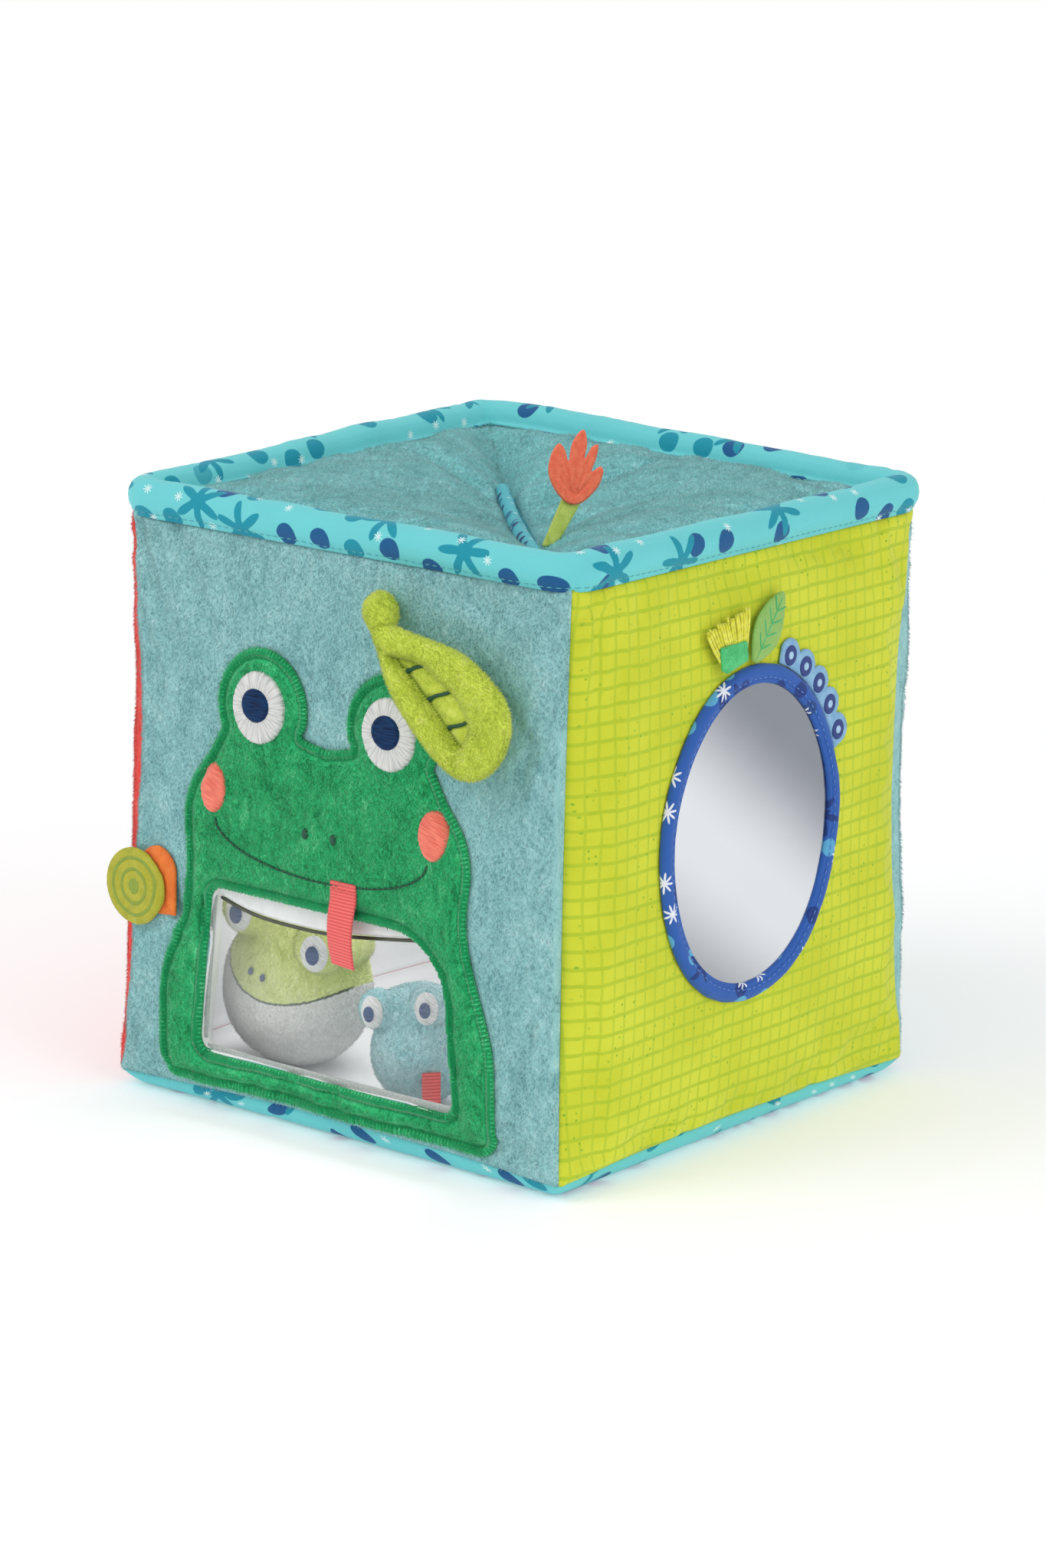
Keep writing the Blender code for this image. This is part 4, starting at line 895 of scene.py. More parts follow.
# A copy of the light-blue plush for the top, its colours retuned, more saturated, to make up for the grazing
# light that greys the top: painted light.
plush_top_painted_light = plush("light_blue_plush_top_painted_light", ink(96, 170, 172), ink(132, 208, 210), ink(176, 232, 233),
                  (0.9, 0.35, 1))
top_folds = {
    -1: (((-0.050, 0.0), (-0.122, 0.0), 0.0075, 0.0052),
         ((-0.030, -0.006), (-0.075, -0.036), 0.008, 0.0024),
         ((0.020, -0.010), (0.035, -0.060), 0.009, 0.0016),
         ((0.060, -0.006), (0.085, -0.025), 0.006, 0.0018)),
    1: (((-0.050, 0.0), (-0.122, 0.0), 0.0075, 0.0052),
        ((-0.020, 0.010), (-0.045, 0.062), 0.009, 0.0022),
        ((0.012, 0.012), (0.010, 0.085), 0.006, 0.0014),
        ((0.030, 0.012), (0.034, 0.075), 0.006, 0.0014),
        ((0.045, 0.008), (0.075, 0.035), 0.007, 0.0020)),
}
# The slit's lips get a darker copy of the aqua print, with finer motifs: the finer print is the cloth's, its
# darker inks are painted shade.
lip_print_shaded = printed_cotton("lip_print_cotton_shaded", ink(72, 176, 188), ink(12, 112, 146), ink(16, 60, 112), 0.0075)
TOP_PILE = 2600000
for side, hand in ((-1, "left"), (1, "right")):
    bm = bmesh.new()
    bmesh.ops.create_grid(bm, x_segments=84, y_segments=36, size=1)
    front, behind = thicken(bm)
    outer = set(front)
    rim_verts = {vert for vert in front if max(abs(vert.co.x), abs(vert.co.y)) > 0.999}
    for vert in front + behind:
        q = vert.co.x * (top_reach - TOP_END)
        share = (1 + vert.co.y) / 2
        wide = top_hem(q) - top_edge(q, side)
        p = top_edge(q, side) + share * wide
        soft = min(1, (1 - share) / 0.08) * min(1, (1 - abs(vert.co.x)) / 0.06)
        fold = sum(crease(q, side * p, *line) for line in top_folds[side]) * soft
        streaks = noise.noise(Vector((q * 14, p * 60, side))) * 0.0004 * soft
        full = 0.0022 * math.sin(math.pi * share) * soft
        lift = (full + streaks - fold) if vert in outer else -fold - TOP_COVER - GAP - TOP_LINING
        roll = shoulder(share * wide, 0.002) if vert in outer else 1
        roll += (1 - roll) * merging(q)
        vert.co = (q, side * p, top_rise(q, p) + lift - (1 - roll) * TOP_COVER * 0.6)
    for face in bm.faces:
        face.material_index = 0 if any(vert in outer for vert in face.verts) else 1
    mark_cut(bm, lambda spot: (spot.x, spot.y))
    outward(bm)
    loose = outer - rim_verts
    fill_up(bm, [1 if vert in loose else 0 for vert in bm.verts], 0.0010, 2.0, 0.015)
    bmesh.ops.transform(bm, matrix=DIAGONAL, verts=bm.verts[:])
    half = piece("top_half_" + hand, bm, [plush_top_painted_light, lining_white], "box", "light_blue_plush",
                 ["top_cover_" + hand, "top_lining_" + hand], FRONT)
    nap("top_nap_" + hand, half, TOP_PILE, PILE_LENGTH, "box", "light_blue_plush",
        lambda face: face.material_index == 0 and face.normal.z > 0.4, (-0.4, 0.8, 0))

    def lip_spot(s, a, side=side):
        q = slit_half * 1.03 * (2 * s - 1)
        end = shoulder(min(s, 1 - s) * SLIT_LENGTH, 0.002)
        angle = 2 * math.pi * a
        fat = SLIT_BINDING / 2 * end * (1.1 - 0.1 * side + 0.06 * noise.noise(Vector((q * 150, a * 4, side))))
        p = lip(q, SLIT_CLOSED) + SLIT_BINDING / 2 + math.cos(angle) * fat
        tucked = (TOP_COVER + TOP_LINING) / 2 + (0.0046 if side > 0 else 0)
        rise = top_rise(q, lip(q) + SLIT_BINDING / 2) - tucked
        return Vector((q, side * p, rise + math.sin(angle) * fat * 1.15))

    bm = sleeve(160, 18, lip_spot, SLIT_LENGTH, 0.0135)
    bmesh.ops.transform(bm, matrix=DIAGONAL, verts=bm.verts[:])
    binding = piece("slit_lip_" + hand, bm, [lip_print_shaded], "box", "aqua_print_cotton",
                    ["slit_binding_" + hand], FRONT)

# Window: clear film sewn behind the cut-out, its upper edge free so that a hand
# gets in. Grey felted seam allowance shows along its lower and left edges, and
# the white facing of the opening shows over its upper edge.
FILM = 0.0005
FILM_MARGIN = 0.004
MOUTH_GAP = 0.0082


def ease(bm, verts):
    """Smooths a form a little."""
    bmesh.ops.smooth_vert(bm, verts=verts, factor=0.4, use_axis_x=True, use_axis_y=True, use_axis_z=True)


def smooth_run(points, steps=6):
    """Points of a smooth curve through the given points."""
    run = []
    for n in range(len(points) - 1):
        before, after = points[max(n - 1, 0)], points[min(n + 2, len(points) - 1)]
        a, b = points[n], points[n + 1]
        for k in range(steps):
            t = k / steps
            run.append(tuple(
                0.5 * (2 * a[i] + (b[i] - before[i]) * t
                       + (2 * before[i] - 5 * a[i] + 4 * b[i] - after[i]) * t ** 2
                       + (3 * a[i] - before[i] - 3 * b[i] + after[i]) * t ** 3)
                for i in range(len(a))))
    run.append(tuple(points[-1]))
    return run


def cloth(outline, pitch, holes=()):
    """Flat piece cut to an outline in x and z, with an even grid inside it. It keeps how far each
    point is from the cut."""
    outline = np.array(outline)
    low, high = outline.min(0) - pitch, outline.max(0) + pitch
    bm = bmesh.new()
    bmesh.ops.create_grid(bm, x_segments=math.ceil((high[0] - low[0]) / pitch),
                          y_segments=math.ceil((high[1] - low[1]) / pitch), size=0.5)
    for vert in bm.verts:
        x, z = low + (high - low) * (np.array(vert.co.xy) + 0.5)
        vert.co = (x, 0, z)
    trim(bm, outline, holes)
    ease(bm, [vert for vert in bm.verts if not vert.is_boundary])
    near = bm.verts.layers.float.new("edge_distance")
    distance, _ = from_edge(wall_spots(bm.verts), [outline, *holes])
    for vert, d in zip(bm.verts, distance):
        vert[near] = d
    return bm


def lay(bm, ground, low, high):
    """Lays a flat piece on a ground: its back stands low over it, and its face high, by place and
    distance from the cut."""
    near = bm.verts.layers.float["edge_distance"]
    front, behind = thicken(bm)
    mark_cut(bm)
    for vert in front + behind:
        vert.co.y = -ground(vert.co.x, vert.co.z)
    for vert in behind:
        vert.co.y -= low
    for vert in front:
        vert.co.y -= high(vert[near], vert.co.x, vert.co.z)
    outward(bm)
    return bm


film_half = WINDOW_TOP_HALF + FILM_MARGIN
film_shares = ((1.0, -0.05), (0.5, -0.55), (0.05, -0.92), (-0.3, -1.0), (-0.65, -0.88), (-1.0, -0.35))
film_edge = smooth_run([(x * film_half, WINDOW_HIGH + z * MOUTH_GAP) for x, z in film_shares])
film_outline = [(-WINDOW_BASE_HALF - FILM_MARGIN, WINDOW_LOW - FILM_MARGIN),
                (WINDOW_BASE_HALF + FILM_MARGIN, WINDOW_LOW - FILM_MARGIN)] + film_edge
clear_film, shader, spot = finish("clear_film", Roughness=0.09, IOR=1.46, Specular_IOR_Level=0.6)
# Soft diagonal stripes where the pale film is more opaque make it lighter there: painted sheen.
painted_sheen = ((spot.part(0) + spot.part(2) * 1.7) * 46.0).sum("SINE")
(spot.speckle(0.05, 1.0) * 0.09 + painted_sheen * 0.05 + 0.01).feed(shader, "Alpha")
spot.speckle(0.03, 1.0).among(ink(196, 202, 206), ink(232, 236, 238)).feed(shader, "Base Color")
spot.speckle(0.028, 1.0).emboss(shader, 0.004, 0.5)
bm = lay(cloth(film_outline, 0.002), lambda x, z: wall_out(x, z) - COVER - GAP - FILM,
         0, lambda d, x, z: FILM)
piece("window_sheet", bm, [clear_film], "box", "clear_film", ["window_film"], FRONT)

# The film's free edge, as a thin dark tube: the edge is real, its dark colour is a painted reflection.
painted_edge_reflection = dyed("film_edge", ink(48, 52, 44), ink(84, 88, 66), 0.01, 1.0, Roughness=0.25)
edge_points = [Vector((x, -(wall_out(x, z) - COVER - GAP - FILM / 2), z))
               for x, z in dense(film_edge, 0.002)[1:] if abs(x) < WINDOW_TOP_HALF]


def run_tube(points, radius, rounds=8):
    """Slim tube along a run of points, its radius a number or a function of the share of its length."""
    marks = np.concatenate([[0], np.cumsum([(b - a).length for a, b in zip(points, points[1:])])])
    spots = np.array(points)
    radius_at = radius if callable(radius) else lambda s: radius

    def spot_of(s, a):
        at = s * marks[-1]
        here, before, after = (Vector(point_at(at + d, marks, spots)) for d in (0, -0.0004, 0.0004))
        run = (after - before).normalized()
        side = run.cross(Vector((0, -1, 0)))
        side = side.normalized() if side.length > 0.01 else Vector((1, 0, 0))
        fat = radius_at(s)
        fat *= shoulder(min(s, 1 - s) * marks[-1], fat + 0.00001)
        angle = 2 * math.pi * a
        return here + (side * math.cos(angle) + side.cross(run) * math.sin(angle)) * fat
    steps = max(8, int(marks[-1] / max(0.0005, radius_at(0.5) * 0.7)))
    return sleeve(min(steps, 260), rounds, spot_of, float(marks[-1]), 0.01)


bm = run_tube(edge_points, 0.00062)
piece("film_edge_painted_reflection", bm, [painted_edge_reflection], "box", "clear_film", (), FRONT)

felt_grey = dyed("grey_felt", ink(150, 156, 154), ink(205, 210, 207), 0.0008, 3.0, (0.0007, 0.0006, 0.8),
                 Roughness=0.95, Sheen_Weight=0.2)
felt_path = [(-0.0497, 0.0700), (-0.0533, 0.0300), (-0.0545, 0.0205), (-0.0500, 0.0170),
             (0.0480, 0.0168), (0.0540, 0.0180)]
felt_inner = [(-0.0482, 0.0700), (-0.0516, 0.0300), (-0.0522, 0.0220), (-0.0488, 0.0195),
              (0.0470, 0.0200), (0.0510, 0.0212)]
felt_outline = smooth_run(felt_path, 8) + smooth_run(felt_inner, 8)[::-1]


def felt_face(d, x, z):
    """Thin felt with a rounded edge and a rough face."""
    return 0.0004 + 0.0007 * shoulder(d, 0.0006) + 0.0002 * noise.noise(Vector((x, z, 0)) * 900)


bm = lay(cloth(felt_outline, 0.0005), lambda x, z: wall_out(x, z) - COVER - GAP, 0.0001, felt_face)
piece("window_seam_felt", bm, [felt_grey], "box", "lining_cloth", (), FRONT)

facing_white = dyed("white_facing", ink(226, 228, 228), ink(246, 247, 247), 0.004, 2.0, (0.0006, 0.0002, 0.6),
                    Roughness=0.85, Sheen_Weight=0.1)
facing_top = [(0.0475, 0.0735), (0.02, 0.0750), (-0.02, 0.0750), (-0.0490, 0.0750)]
facing_low = [(x, z + 0.0009) for x, z in film_edge if abs(x) < 0.0475]
bm = lay(cloth(facing_top[::-1] + facing_low, 0.0012), lambda x, z: wall_out(x, z) - COVER - 0.0004, -0.0006,
         lambda d, x, z: 0.0009 * shoulder(d, 0.0012) + 0.0002 * noise.noise(Vector((x * 90, z * 90, 0))))
piece("opening_facing", bm, [facing_white], "box", "lining_cloth", (), FRONT)

# Applique: green plush cut as a friendly round head with two eye domes, sewn on
# the front wall round the window by a dense zigzag that lies in its edge.
APPLIQUE = 0.0022
FROG_HALF = 0.0700
FROG_LOW = 0.0068
FROG_TOP = 0.1545
FROG_CORNER = 0.008
DOME_RADIUS = 0.0185
EYE_OFFSET = 0.0270
EDGE_BAND = 0.0027


def arc(centre, radius, start, end, steps):
    """Points of an arc, its angles in degrees."""
    turns = [math.radians(start + (end - start) * k / steps) for k in range(steps + 1)]
    return [(centre[0] + radius * math.cos(a), centre[1] + radius * math.sin(a)) for a in turns]


eye_height = FROG_TOP - DOME_RADIUS
side_shares = ((1.0, 0.18), (0.985, 0.27), (0.92, 0.36), (0.855, 0.45), (0.83, 0.53),
               (0.845, 0.63), (0.80, 0.70), (0.70, 0.76))
low_corner = arc((FROG_HALF - FROG_CORNER, FROG_LOW + FROG_CORNER), FROG_CORNER, 270, 360, 8)
side_run = smooth_run([low_corner[-1]] + [(x * FROG_HALF, z * FROG_TOP) for x, z in side_shares])
dome = arc((EYE_OFFSET, eye_height), DOME_RADIUS, -28, 205, 24)
saddle = (0, dome[-1][1] - 0.45 * DOME_RADIUS * (1 - math.cos(math.radians(40))))
right_half = low_corner[:-1] + side_run + smooth_run([dome[0], *dome, saddle], 2)[2:]
left_half = [(-x, z) for x, z in reversed(right_half[:-1])]
head_outline = dense([tuple(point) for point in right_half + left_half], 0.003)


def reopen(material):
    """A finish's shader, place and colour so far, for more to be laid over them."""
    tree = material.node_tree
    shader = tree.nodes["Principled BSDF"]
    spot = Dye(tree, tree.nodes["Texture Coordinate"].outputs["Object"])
    return shader, spot, Dye(tree, shader.inputs["Base Color"].links[0].from_socket)


def edged_plush(name, dark, middle, pale, band=EDGE_BAND):
    """Plush with a darker cut edge, parted from the rest by a sunk line of stitches whose darkening is
    painted shade.
    """
    material = plush(name, dark, middle, pale)
    shader, spot, plain = reopen(material)
    near = spot.node("Attribute", attribute_name="edge_distance", output=2)
    in_band = 1 - near.step(band * 0.85, band * 1.1)
    # The sunk line of stitches is painted darker: painted shade in the groove.
    line = 1 - (near - band).sum("ABSOLUTE").step(0.0001, 0.0011)
    (in_band * 0.75).sum("MAXIMUM", line * 0.9).among(plain, dark).feed(shader, "Base Color")
    relief = shader.inputs["Normal"].links[0].from_node.inputs["Height"].links[0].from_socket
    (Dye(material.node_tree, relief) - line * 0.8).emboss(shader, 0.0009, 0.8)
    return material


green_inks = ink(20, 136, 80), ink(54, 190, 120), ink(124, 226, 164)
green_plush = edged_plush("green_plush", *green_inks)
green_pile = plush("green_pile", *green_inks)


def strand(bm, middle, way, length, foot_radius, tip_radius, sides):
    """Straight bit of yarn or pile round its middle: a slim cone that points one way."""
    made = bmesh.ops.create_cone(bm, cap_ends=True, segments=sides, radius1=foot_radius, radius2=tip_radius,
                                 depth=length)
    aim = way.to_track_quat("Z", "Y").to_matrix().to_4x4()
    bmesh.ops.transform(bm, matrix=Matrix.Translation(middle) @ aim, verts=made["verts"])


def tufts(bm, outline, reach, spacing, thickness, out, inward=False):
    """Pile that stands out from a cut edge: slim bent cones, each a little different."""
    spot, length = loop_run(outline)
    count = int(length / spacing)
    for n in range(count):
        place, way = spot((n + 0.35 * noise.noise(Vector((n * 0.37, 1, 0)))) / count)
        if inward:
            way = -way
        stray = noise.noise(Vector((n * 0.73, 4, 0)))
        tall = reach * (0.9 + 0.5 * noise.noise(Vector((n * 0.91, 7, 0))))
        bent = Vector((way.x - way.y * stray * 0.8, -0.25 - 0.25 * stray, way.y + way.x * stray * 0.8))
        foot = Vector((place.x - way.x * 0.0006, -out(place.x, place.y), place.y - way.y * 0.0006))
        direction = bent.normalized()
        strand(bm, foot + direction * tall * 0.35, direction, tall, thickness / 2, thickness / 10, 4)


def zigzag(bm, outline, faces, pitch=0.0014, reach=0.0031):
    """Dense zigzag over a cut edge: plump strands side by side, from just outside it to the stitched line."""
    spot, length = loop_run(outline)
    count = int(length / pitch)
    for n in range(count):
        place, way = spot((n + 0.25 * noise.noise(Vector((n * 0.61, 2, 0)))) / count)
        stray = 0.25 * noise.noise(Vector((n * 0.83, 6, 0)))
        ends = []
        for over in (0.0002, -reach * (0.95 + 0.2 * noise.noise(Vector((n * 0.47, 9, 0))))):
            x, z = place + way * over + Vector((-way.y, way.x)) * over * stray
            hit = first_hit(faces, x, z)
            ends.append(Vector((x, -on_wall(x, z) - APPLIQUE * 0.4 if hit is None else hit.y, z)))
        run = ends[1] - ends[0]
        side = run.cross(Vector((0, -1, 0))).normalized()
        up = side.cross(run).normalized()
        bead(bm, (ends[0] + ends[1]) / 2, run * 1.1, side * pitch * 0.76, up * 0.0024)


def head_height(d, x, z):
    """The plush rises steeply from its edge, dips at the stitched line and then lies full."""
    rise = APPLIQUE * (0.35 + 0.65 * shoulder(d, 0.0013))
    channel = 0.0015 * math.exp(-((d - EDGE_BAND - 0.0007) / 0.0011) ** 2)
    full = 0.0007 * min(1, max(0, d - 0.004) / 0.008)
    uneven = 0.00015 * noise.noise(Vector((x, z, 0)) * 700) + 0.0004 * noise.noise(Vector((x, z, 2)) * 55)
    return rise - channel + full + uneven


bm = lay(cloth(head_outline, 0.0011, [window_outline]), on_wall, GAP, head_height)
head_faces = BVHTree.FromBMesh(bm)
applique = piece("green_head", bm, [green_plush], "box", "green_plush", ["frog_applique"], FRONT)
HEAD_PILE = 3600000
nap("green_head_nap", applique, HEAD_PILE, 0.0012, "box", "green_plush", lambda face: face.normal.y < -0.3,
    finish_of=green_pile, bare=EDGE_BAND + 0.0010)
bm = bmesh.new()
zigzag(bm, head_outline, head_faces)
zigzag(bm, window_outline[::-1], head_faces)
piece("green_head_zigzag", bm, [green_pile], "box", "green_plush", (), FRONT)
bm = bmesh.new()
tufts(bm, head_outline, 0.0016, 0.0008, 0.0007, lambda x, z: on_wall(x, z) + APPLIQUE * 0.35)
tufts(bm, window_outline, 0.0013, 0.0009, 0.0007, lambda x, z: wall_out(x, z) + APPLIQUE * 0.3, True)
piece("green_head_pile", bm, [green_pile], "box", "green_plush", (), FRONT)


def on_head(x, z):
    """Distance from the middle of the box to the face of the applique, or of the wall beside it."""
    hit = first_hit(head_faces, x, z)
    return on_wall(x, z) if hit is None else -hit.y


# Embroidery on the head: two white eyes in satin stitch with navy pupils, coral
# cheeks, two small nostrils and the thin stitched line of the mouth.
EYE_PATCH = 0.0010
EYE_SIZE = (0.0218, 0.0234)
PUPIL_SIZE = (0.0116, 0.0110)
CHEEK_SIZE = (0.0110, 0.0160)
CHEEK_OUT = 0.0455
CHEEK_HEIGHT = 0.1070
NOSTRIL_SIZE = (0.0026, 0.0038)
NOSTRIL_OUT = 0.0058
NOSTRIL_HEIGHT = 0.0990


def oval(centre, width, height, steps=48):
    """Points of an ellipse."""
    turns = [2 * math.pi * k / steps for k in range(steps)]
    return [(centre[0] + width / 2 * math.cos(a), centre[1] + height / 2 * math.sin(a)) for a in turns]


def satin_stitch(name, dark, pale, centre=None, lie=0.0, shine=0.3):
    """Thread laid side by side, round a centre like spokes or straight across at an angle."""
    material, shader, spot = finish(name, Roughness=0.5, Sheen_Weight=shine, Specular_IOR_Level=shine)
    if centre:
        x, z = spot.part(0) - centre[0], spot.part(2) - centre[1]
        turns_of = z.sum("ARCTAN2", x)
        reach = (x * x + z * z) ** 0.5
        row = turns_of.node("CombineXYZ", {0: turns_of * 14.0, 1: reach * 130.0})
    else:
        x, z = spot.part(0) + spot.part(1) * 0.5, spot.part(2)
        row = x.node("CombineXYZ", {0: (x * math.sin(lie) + z * math.cos(lie)) * 2600.0,
                                    1: (x * math.cos(lie) - z * math.sin(lie)) * 160.0})
    thread = row.node("TexNoise", {"Vector": row, "Scale": 1.0, "Detail": 2.0})
    thread.step(0.32, 0.62).among(dark, pale).feed(shader, "Base Color")
    thread.emboss(shader, 0.0005, 0.8)
    return material


navy_thread = satin_stitch("navy_embroidery", ink(10, 30, 62), ink(26, 60, 104), shine=0.06)
coral_thread = satin_stitch("coral_satin", ink(226, 96, 78), ink(250, 132, 108), lie=0.35)
dark_thread = dyed("dark_green_thread", ink(8, 60, 40), ink(20, 84, 58), Roughness=0.6)


def ragged(outline, amount, seed):
    """An embroidered edge: each thread ends a little further in or out."""
    middle = Vector(np.mean(outline, 0))
    return [tuple(middle + (Vector(point) - middle) * (1 + amount * noise.noise(Vector((n * 0.9, seed, 0)))))
            for n, point in enumerate(outline)]


def patch(name, outline, pitch, ground, low, high, rounding, material, body, slot, nodes=(), turn=FRONT,
          foot=0.0, holes=()):
    """Thin patch whose back stands low over a ground: its edge is foot thick and rounds up by high."""
    bm = lay(cloth(outline, pitch, holes), ground, low, lambda d, x, z: foot + high * shoulder(d, rounding))
    return piece(name, bm, [material], body, slot, nodes, turn)


for side, hand in ((-1, "left"), (1, "right")):
    eye = (side * EYE_OFFSET, eye_height)
    spoke_centre = settle(Vector((eye[0], -0.09, eye[1])))
    white_thread = satin_stitch("white_embroidery_" + hand, ink(188, 190, 188), ink(226, 226, 223),
                                (spoke_centre.x, spoke_centre.z))
    patch("eye_" + hand, ragged(oval(eye, *EYE_SIZE, 130), 0.016, side), 0.0007, on_head, -0.0003,
          0.0011, 0.0016, white_thread, "box", "white_embroidery", ["eye_patch_" + hand])
    pupil = oval((eye[0] - 0.0003, eye[1] + 0.0008), *PUPIL_SIZE, 80)
    patch("pupil_thread_" + hand, ragged(pupil, 0.03, side + 5), 0.0006, on_head, 0.0008,
          0.0007, 0.0010, navy_thread, "box", "navy_embroidery", ["pupil_" + hand], foot=0.0010)
    cheek = oval((side * CHEEK_OUT, CHEEK_HEIGHT), *CHEEK_SIZE, 90)
    patch("cheek_thread_" + hand, ragged(cheek, 0.02, side + 9), 0.0006, on_head, -0.0003,
          0.0010, 0.0014, coral_thread, "box", "coral_satin", ["cheek_" + hand])
    nostril = oval((side * NOSTRIL_OUT, NOSTRIL_HEIGHT), *NOSTRIL_SIZE, 28)
    patch("nostril_thread_" + hand, nostril, 0.0003, on_head, -0.0003,
          0.0009, 0.0008, dark_thread, "box", "navy_embroidery", ["nostril_" + hand])

MOUTH_HALF = 0.0440
MOUTH_LOW = 0.0835
MOUTH_RISE = 0.0135
mouth_points = []
for n in range(161):
    x = MOUTH_HALF * (n / 80 - 1)
    z = MOUTH_LOW + 0.0008 + MOUTH_RISE * (1 - math.sqrt(max(0, 1 - (x / MOUTH_HALF) ** 2)))
    mouth_points.append(Vector((x, -on_head(x, z) - 0.0003, z)))
bm = stitches(mouth_points, 0.0030, 0.0009, 0.82)
piece("mouth_thread", bm, [dark_thread], "box", "navy_embroidery", ["mouth_stitching"], FRONT)

# Tongue: a short piece of coral grosgrain ribbon, stitched down by its upper end
# over the mouth line. It hangs over the opening of the window and swings a little.
RIBBON_WIDTH = 0.0105
RIBBON_LENGTH = 0.0270
RIBBON = 0.0007
RIBBON_PLACE = 0.0100
RIB_PITCH = 0.00105
ribbon_top = MOUTH_LOW + 0.0025
coral_ribbon, shader, spot = finish("coral_ribbon", Roughness=0.5, Sheen_Weight=0.2, Specular_IOR_Level=0.4)
flat = spot.node("UVMap", uv_map="cut")
rib = (flat.part(1) / RIB_PITCH * (2 * math.pi)).sum("SINE")
ribbed = rib * 0.32 + flat.speckle(0.0004) * 0.4 + 0.35
ribbed.step(0.1, 0.95).among(ink(212, 70, 72), ink(250, 112, 108)).feed(shader, "Base Color")
flat.part(0).speckle(0.0003).emboss(shader, 0.0002, 0.6)
bm = bmesh.new()
bmesh.ops.create_grid(bm, x_segments=12, y_segments=156, size=0.5)
front, behind = thicken(bm)
mark_cut(bm, lambda spot: (spot.x * RIBBON_WIDTH, spot.y * RIBBON_LENGTH))
ribbon_seat = max(on_head(RIBBON_PLACE, ribbon_top - 0.003), wall_out(RIBBON_PLACE, ribbon_top) + 0.0034)
for verts, over in ((front, RIBBON), (behind, 0)):
    for vert in verts:
        down = 0.5 - vert.co.y
        rise = RIBBON * 0.17 * math.cos(2 * math.pi * down * RIBBON_LENGTH / RIB_PITCH) * (1 if over else -1)
        free = max(0, down - 0.22) / 0.78
        twist = 0.16 * free * vert.co.x * RIBBON_WIDTH
        swing = 0.0016 * math.sin(math.pi * free) + 0.0006 * free
        vert.co = (RIBBON_PLACE + vert.co.x * RIBBON_WIDTH + 0.0009 * free * free,
                   -(ribbon_seat + over + rise + swing + twist), ribbon_top - down * RIBBON_LENGTH)
outward(bm)
ribbon = piece("tongue", bm, [coral_ribbon], "tongue", "coral_ribbon", ["tongue_ribbon"], FRONT)
coral_pale = dyed("coral_thread", ink(236, 110, 106), ink(252, 150, 142), 0.0006, 1.0, Roughness=0.5)
zigzag_run = [Vector((RIBBON_PLACE + (n / 12 - 0.5) * RIBBON_WIDTH * 0.9, -(ribbon_seat + RIBBON + 0.0002),
                      ribbon_top - 0.0031 + 0.0007 * (n % 2))) for n in range(13)]
bm = stitches(zigzag_run, 0.0009, 0.0004)
piece("tongue_stitches", bm, [coral_pale], "tongue", "coral_ribbon", (), FRONT)

# Leaf flap: two layers of lime-green plush with a fat stuffed roll all round and a
# quilted middle. Its veins are short dark-green stitches, and it hangs from a stalk.
LEAF_NECK_X = 0.0310
LEAF_NECK_Z = 0.1690
LEAF_TURN = 43.0
LEAF_RIM = 0.0088
LEAF_CLEAR = 0.0006
STALK_LENGTH = 0.0125
STALK_NECK = 0.0060
STALK_KNOB = 0.0105
leaf_turn = math.radians(LEAF_TURN)
leaf_out = wall_out(EYE_OFFSET, eye_height) + APPLIQUE + EYE_PATCH + 0.0014 + LEAF_CLEAR + LEAF_RIM / 2


def leaf_place(along, across):
    """Place on the wall of a point of the leaf, in x and z."""
    return (LEAF_NECK_X + along * math.cos(leaf_turn) + across * math.sin(leaf_turn),
            LEAF_NECK_Z - along * math.sin(leaf_turn) + across * math.cos(leaf_turn))


# The leaf's cut and the sunken middle inside its roll, along and across from the neck in millimetres
leaf_cut = ((-4.6, 1.6), (-4.8, -2.8), (0.6, -6.3), (6.8, -9.3), (13.3, -11.1), (20.0, -11.9), (28.0, -12.5),
            (35.2, -12.3), (42.3, -11.6), (48.7, -9.3), (53.1, -5.0), (55.0, 1.1), (54.3, 9.3), (51.1, 15.8),
            (46.3, 19.8), (40.6, 21.6), (33.6, 21.2), (27.0, 19.8), (19.5, 16.8), (12.2, 12.4), (6.3, 8.2),
            (1.2, 4.8), (-4.6, 1.6))
leaf_well = ((4.6, -3.8), (9.9, 1.4), (15.5, 5.2), (22.5, 7.0), (30.2, 8.6), (35.7, 8.2), (40.1, 6.0),
             (42.6, 2.0), (43.0, -2.6), (38.0, -3.4), (30.4, -3.3), (22.8, -3.1), (14.6, -3.3), (8.5, -3.9),
             (4.6, -3.8))
leaf_outline, well_outline = (
    dense([leaf_place(a / 1000, b / 1000) for a, b in smooth_run(line, 4)[:-1]], 0.001)
    for line in (leaf_cut, leaf_well))
vein_lines = (((12.0, -3.0), (15.2, 4.4)), ((23.4, -2.6), (27.6, 7.0)), ((34.6, -2.8), (38.6, 5.4)))
vein_ends = [[leaf_place(a / 1000, b / 1000) for a, b in line] for line in vein_lines]
leaf_plush = plush("leaf_plush", ink(180, 204, 62), ink(226, 242, 98), ink(246, 252, 156), (1, 1, 0.5), 0.008)
# The sunken middle's plush is a darker copy of the leaf plush: painted shade in the recess.
shaded_quilted_plush = plush("shaded_quilted_leaf_plush", ink(150, 172, 48), ink(202, 218, 80), ink(226, 236, 120),
                      (1, 1, 1), 0.006)
shader, spot, plain = reopen(shaded_quilted_plush)
